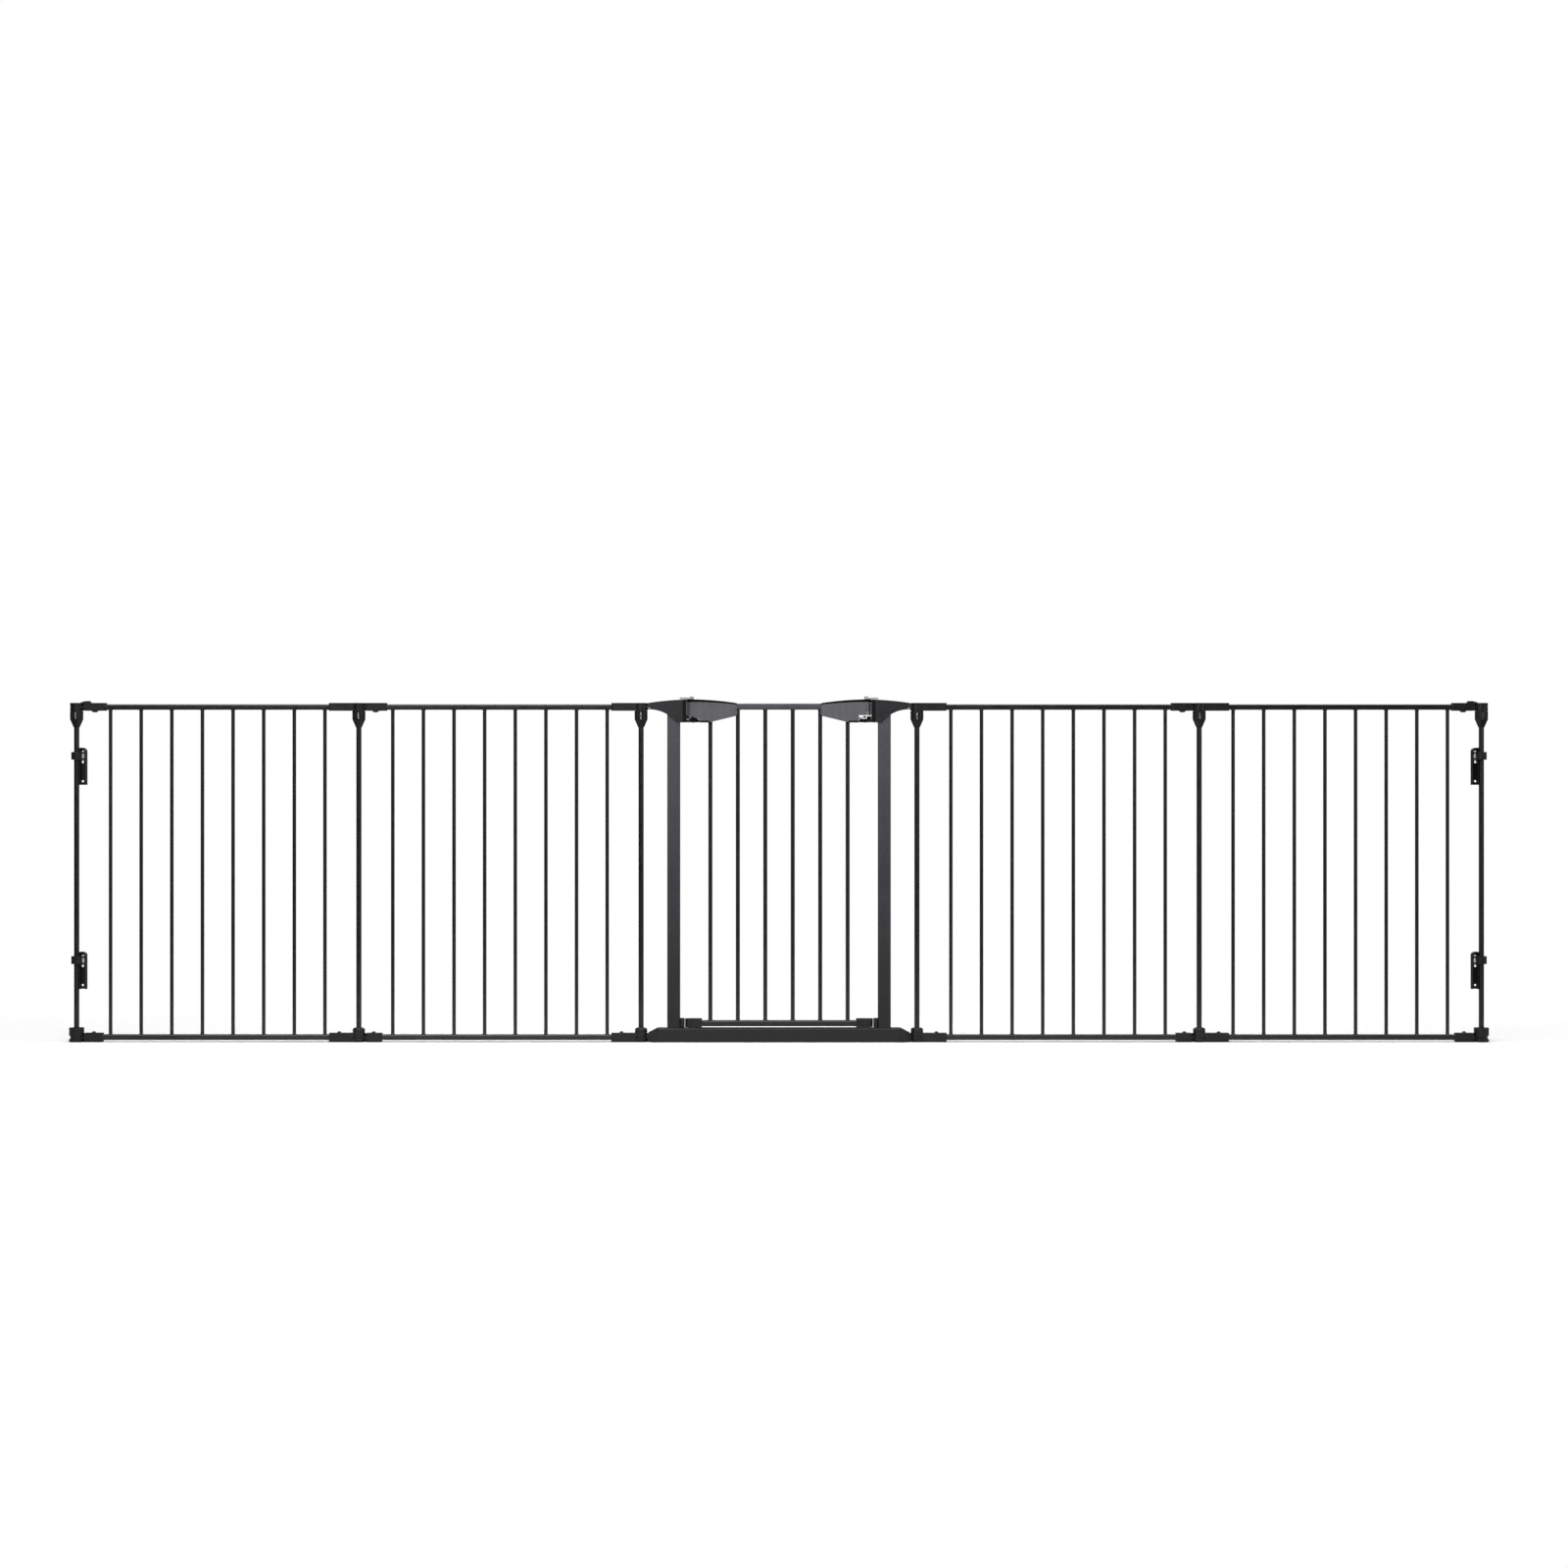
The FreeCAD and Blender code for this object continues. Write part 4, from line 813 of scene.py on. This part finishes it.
HINGE_NOTCH = 712
LATCH_NOTCH = 720
for housing, notch in (
    (Housing("hinge_housing", -1), HINGE_NOTCH),
    (Housing("latch_housing", 1), LATCH_NOTCH),
):
    housing_trim(housing, notch)
    spring_clip(housing, notch)
    rear_screws(housing)


# ------------------------------------------------------------------ thumb sliders

GRIP_HIGH = 2.6
RIB_HALF_LONG = 6.2
# Two rows of ribs on a slider: how many, how far the first is in from the outer end, pitch, half width
PLATE_RIBS = (5, 8.2, -2.1, 0.55)
GRIP_RIBS = (3, 28.7, 2.4, 0.5)


def rectangle(x, y):
    """The outline of a rectangle from two places along x and two along y."""
    return [(x[0], y[0]), (x[1], y[0]), (x[1], y[1]), (x[0], y[1])]


def rib_row(piece, row, outer, out, heights):
    """Equal ribs across a slider. outer is its outer end, from the middle of the gate."""
    count, first, pitch, half = row
    for i in range(count):
        x = (outer - first + pitch * i) * out
        outline = rectangle((x - half, x + half), (-RIB_HALF_LONG, RIB_HALF_LONG))
        piece.add(*prism(outline, *heights))


def slider_details(name, out):
    """Ribs for the thumb on a slider's plate and grip, and the round mark near its end."""
    low, high = box_mm(f"{name}_slider")
    outer = max(abs(low.x), abs(high.x))
    plate_top = high.z - GRIP_HIGH
    ribs, mark = Piece(), Piece()
    rib_row(ribs, PLATE_RIBS, outer, out, (plate_top - 0.3, plate_top + 0.75))
    rib_row(ribs, GRIP_RIBS, outer, out, (high.z - 0.6, high.z - 0.02))
    ribs.put(f"{name}_slider_ribs", f"{name}_slider", "slider_plastic", bevel=0.25)
    mark.add(*ring(1.0, 2.5, -0.2, 0.5), at((outer - 4.2) * out, 0, plate_top))
    mark.put(f"{name}_slider_mark", f"{name}_slider", "slider_plastic", DOT)


for name, out in (("hinge", -1), ("latch", 1)):
    slider_details(name, out)


# ------------------------------------------------------------------ hinge and keeper hardware

PLATES = (("hinge", "hinge_bracket", -1), ("keeper", "latch_keeper", 1))
PLATE_THICK = 3
RIVET = [(3.2, -2.0), (3.2, -2.3), (2.6, -2.75), (1.2, -2.95), (0.5, -3.0)]


def pin_sheath():
    """The bright sleeve on the keeper's pin, with a flange on the plate."""
    low, high = box_mm("latch_keeper")
    plate_top = low.z + PLATE_THICK
    tall = high.z - plate_top
    profile = [(4.6, -0.2), (4.6, 0.5), (3.1, 0.7), (3.1, tall - 0.7), (2.4, tall), (0.6, tall)]
    sheath = Piece()
    sheath.add(*turned(profile), at(PIVOT, 0, plate_top))
    sheath.put("keeper_pin_sheath", "gate_frame", "zinc_steel")


for name, node, out in PLATES:
    rivet = Piece()
    rivet.add(*turned(RIVET), at(PIVOT * out, 0, box_mm(node)[0].z))
    rivet.put(f"{name}_pin_rivet", "gate_frame", "zinc_steel")
pin_sheath()


# ------------------------------------------------------------------ screws of the caps

CAP_SCREW = (285.6, 734.3)
CAP_ARM_HALF = 11
CAP_HALF = 16
BACK_SCREWS_X = (226, 240)
BACK_SCREWS_Z = 728


def cap_screws(side, out):
    """A small screw on each side of a cap's arm, and two larger ones that hold the cap from behind."""
    screws = Piece()
    for facing, y in (("front", -CAP_ARM_HALF), ("back", CAP_ARM_HALF)):
        screws.add(*screw_head(2.0, 0.9), at(CAP_SCREW[0] * out, y, CAP_SCREW[1], facing))
    for x in BACK_SCREWS_X:
        screws.add(*screw_head(2.6, 1.0), at(x * out, CAP_HALF, BACK_SCREWS_Z, "back"))
    screws.put(f"{side}_cap_screws", "gate_frame", "zinc_steel", DULL_ZINC)


for side, out in SIDES:
    cap_screws(side, out)


# ------------------------------------------------------------------ the caps' end strips, and plate covers

CAP_INNER = 204.2
STRIP_TO = 212.2
STRIP_THICK = 0.42
STRIP_PROUD = 0.35
STRIP_SUNK = 0.5
STRIP_CORNER = 1.2
PAD_INNER = 203.35
PAD_SPAN = (722.0, 747.0)


def end_strip(side, out):
    """The soft black strip that closes a cap's inner end against the door, with a pad on it. Its black is
    partly painted shade of the gap between the cap and the door.
    """
    low, high = box_mm(f"{side}_post_cap")
    half = high.y
    inner = CAP_INNER - STRIP_THICK
    front_half = [
        (STRIP_TO, -half + STRIP_SUNK),
        (STRIP_TO, -half - STRIP_PROUD),
        (inner + STRIP_CORNER, -half - STRIP_PROUD),
        (inner, -half + 0.9),
    ]
    back_half = [(x, -y) for x, y in reversed(front_half)]
    buried = [(CAP_INNER + 0.4, half - STRIP_SUNK), (CAP_INNER + 0.4, -half + STRIP_SUNK)]
    strip = Piece()
    section = [(x * out, y) for x, y in front_half + back_half + buried]
    strip.add(*prism(section, low.z + 0.2, high.z - 0.8))
    pad = [(inner + 0.2, -4.0), (PAD_INNER, -2.8), (PAD_INNER, 2.8), (inner + 0.2, 4.0)]
    strip.add(*prism([(x * out, y) for x, y in pad], *PAD_SPAN))
    # The strip's near-black finish is partly painted shade of the gap.
    strip.put(f"{side}_cap_end_strip", "gate_frame", "cap_plastic", TRIM, bevel=0.2)


COVER_REACH = 12.0
COVER_RIM = 10.3
COVER_UP = 5.3
COVER_THICK = 2.0
COVER_TO = CAP_INNER - 1.2
COVER_TURN = math.radians(50)
NOSE_STEPS = 16
STOP_FROM = 193.5
STOP_UP = 11.4


def plate_cover(name, node, out):
    """The moulded cover under a hinge or keeper plate, round where the door turns over it. A rim
    stands round the pin, and a stop block behind the keeper's."""
    low = box_mm(node)[0].z
    nose = [COVER_TURN - 2 * COVER_TURN * i / NOSE_STEPS for i in range(NOSE_STEPS + 1)]
    outline = [(PIVOT - COVER_REACH * math.cos(a), COVER_REACH * math.sin(a)) for a in nose]
    root_half = COVER_REACH * math.sin(COVER_TURN)
    outline += [(COVER_TO, -root_half), (COVER_TO, root_half)]
    cover = Piece()
    cover.add(*prism([(x * out, y) for x, y in outline], low - COVER_THICK, low - 0.02))
    cover.add(*ring(COVER_RIM, COVER_REACH, low - 0.1, low + COVER_UP), at(PIVOT * out, 0, 0))
    back_x = (COVER_TO * out, (PIVOT + 12.6) * out)
    cover.add(*prism(rectangle(back_x, (-9.0, 9.0)), low - 0.1, low + 5.2))
    if name == "keeper":
        stop_x = (STOP_FROM * out, COVER_TO * out)
        cover.add(*prism(rectangle(stop_x, (-5.0, 5.0)), low - 0.1, low + STOP_UP))
    cover.put(f"{name}_plate_cover", "gate_frame", "cap_plastic", TRIM, bevel=0.5)


for side, out in SIDES:
    end_strip(side, out)
for name, node, out in PLATES:
    plate_cover(name, node, out)


# ------------------------------------------------------------------ ridges that close the fork gaps

HUB_R = 14.3
HUB_CLEAR = 0.15
ARM_OVERLAP = 0.2
RIDGE_HALF = 2.6
START = 16.0
LOW_START = 17.2
TOP_SPANS = ((730.0, 734.9), (741.1, 746.0))
CAP_TOP_SPANS = ((732.2, 734.9), (741.1, 746.0))
LOW_SPANS = ((0.6, 5.9), (13.5, 18.9))


def gap_ridges(name, body, slot, pole, way, levels):
    """Thin upright ridges on an arm's end, above and below its tongues, close to the hub. way is
    the direction from the pole to the arm. levels are (where the arm starts, spans in z)."""
    piece = Piece()
    for start, spans in levels:
        x = sorted((pole + way * (HUB_R + HUB_CLEAR), pole + way * (start + ARM_OVERLAP)))
        for low, high in spans:
            piece.add(*prism(rectangle(x, (-RIDGE_HALF, RIDGE_HALF)), low, high))
    piece.put(name, body, slot, bevel=0.3)


top_level, cap_level = (START, TOP_SPANS), (START, CAP_TOP_SPANS)
for side, out in SIDES:
    gate, middle, end = (middle_x(f"{side}_{r}_pole") for r in RINGS)
    for name, body, slot, pole, levels in (
        ("cap", "gate_frame", "cap_plastic", gate, (cap_level, (START, LOW_SPANS))),
        ("inner", f"{side}_inner_panel", "black_plastic", middle, (top_level, (LOW_START, LOW_SPANS))),
        ("outer", f"{side}_outer_panel", "black_plastic", end, (top_level,)),
    ):
        gap_ridges(f"{side}_{name}_ridges", body, slot, pole, -out, levels)


# ------------------------------------------------------------------ rings round the press buttons

TOP_ARM_UNDER = 729.5
LOW_ARM_TOP = 19.4
HUB_BUTTON_AT = 43
# A panel, its hub pole and its tongue pole, and how far its top and low buttons are from the tongue pole
BUTTONS = (("inner", "inner", "middle", 37, 32.7), ("outer", "middle", "end", 40.4, 38.2))


def button_rings(side, out, panel, hub_pole, tongue_pole, top_at, low_at):
    """The rings round the three press buttons of a panel."""
    hub_x = middle_x(f"{side}_{hub_pole}_pole")
    tongue_x = middle_x(f"{side}_{tongue_pole}_pole")
    small = ring(4.4, 6.0, -0.3, 0.6)
    rings = Piece()
    rings.add(*ring(6.9, 8.7, -0.3, 0.7), at(tongue_x - top_at * out, 0, TOP_ARM_UNDER, "down"))
    rings.add(*small, at(tongue_x - low_at * out, 0, LOW_ARM_TOP))
    rings.add(*small, at(hub_x + HUB_BUTTON_AT * out, 0, LOW_ARM_TOP))
    rings.put(f"{side}_{panel}_button_rings", f"{side}_{panel}_panel", "black_plastic")


for side, out in SIDES:
    for button_row in BUTTONS:
        button_rings(side, out, *button_row)


# ------------------------------------------------------------------ stage, camera and light

ALONG_GATE = 0.3  # how much less the floor's whiteness grows along the gate than across it
WHITE_FROM = 0.3
WHITE_TO = 0.9
BOUNCE = 0.15  # what the white floor gives off, seen from anything but the camera
AMBIENT = 0.12


def stage_material():
    """A pale floor that turns to plain white a little way from the gate."""
    s = Shader("pale_floor")
    away = s.node("ShaderNodeVectorMath", operation="LENGTH")
    s.feed(away.inputs[0], s.stretch((ALONG_GATE, 1.0, 1.0)))
    s.main.inputs["Base Color"].default_value = rgba((0.93, 0.93, 0.93))
    s.main.inputs["Roughness"].default_value = 0.9
    s.main.inputs["Specular IOR Level"].default_value = 0.1
    glow = s.node("ShaderNodeEmission")
    seen = s.node("ShaderNodeLightPath").outputs["Is Camera Ray"]
    s.feed(glow.inputs["Strength"], s.spread(seen, 0.0, 1.0, BOUNCE, 1.0))
    mixed = s.node("ShaderNodeMixShader")
    s.feed(mixed.inputs[0], s.spread(away.outputs["Value"], WHITE_FROM, WHITE_TO))
    s.feed(mixed.inputs[1], s.main.outputs[0])
    s.feed(mixed.inputs[2], glow.outputs[0])
    s.feed(s.tree.nodes["Material Output"].inputs[0], mixed.outputs[0])
    return s.material


FLOOR_R = 60.0
FLOOR_Z = -0.0004
FLOOR_SIDES = 96


def studio_floor():
    """A wide round floor under the gate, on the stage only."""
    angles = [TURN * i / FLOOR_SIDES for i in range(FLOOR_SIDES)]
    points = [(FLOOR_R * math.cos(a), FLOOR_R * math.sin(a), FLOOR_Z) for a in angles]
    mesh = bpy.data.meshes.new("studio_floor")
    mesh.from_pydata(points, [], [tuple(range(FLOOR_SIDES))])
    made = bpy.data.objects.new("studio_floor", mesh)
    bpy.context.scene.collection.objects.link(made)
    mesh.materials.append(stage_material())


def world_light():
    """White to the camera, and a softer white as light."""
    world = bpy.data.worlds.new("studio")
    bpy.context.scene.world = world
    world.use_nodes = True
    tree = world.node_tree
    back = tree.nodes["Background"]
    path = tree.nodes.new("ShaderNodeLightPath")
    strength = tree.nodes.new("ShaderNodeMapRange")
    strength.inputs["To Min"].default_value = AMBIENT
    strength.inputs["To Max"].default_value = 1.0
    tree.links.new(path.outputs["Is Camera Ray"], strength.inputs[0])
    tree.links.new(strength.outputs[0], back.inputs["Strength"])
    back.inputs["Color"].default_value = (1, 1, 1, 1)


def softbox(name, place, aim, size, power):
    """A rectangular lamp that the camera doesn't see, turned towards a place."""
    light = bpy.data.lights.new(name, "AREA")
    light.shape = "RECTANGLE"
    light.size, light.size_y = size
    light.energy = power
    made = bpy.data.objects.new(name, light)
    made.location = place
    made.rotation_mode = "QUATERNION"
    made.rotation_quaternion = (Vector(aim) - Vector(place)).to_track_quat("-Z", "Y")
    made.visible_camera = False
    bpy.context.scene.collection.objects.link(made)


studio_floor()
world_light()
softbox("top_softbox", (0.0, -0.7, 3.2), (0, 0, 0.4), (5.0, 1.6), 100)
softbox("front_softbox", (-0.9, -3.6, 2.7), (0, 0, 0.55), (2.6, 1.4), 130)
softbox("right_softbox", (4.6, -2.4, 1.7), (0, 0, 0.4), (1.0, 2.4), 40)
softbox("back_softbox", (0.6, 3.8, 2.9), (0, 0, 0.4), (4.4, 1.6), 80)

CAMERA_AWAY = 6.72
CAMERA_X = 0.011
CAMERA_HIGH = 0.568
FOCAL_LENGTH = 70
SENSOR_WIDE = 36

lens = bpy.data.cameras.new("camera")
lens.lens = FOCAL_LENGTH
lens.sensor_width = SENSOR_WIDE
camera = bpy.data.objects.new("camera", lens)
camera.location = (CAMERA_X, -CAMERA_AWAY, CAMERA_HIGH)
camera.rotation_euler = (math.pi / 2, 0, 0)
bpy.context.scene.collection.objects.link(camera)
bpy.context.scene.camera = camera
bpy.context.scene.view_settings.view_transform = "Standard"
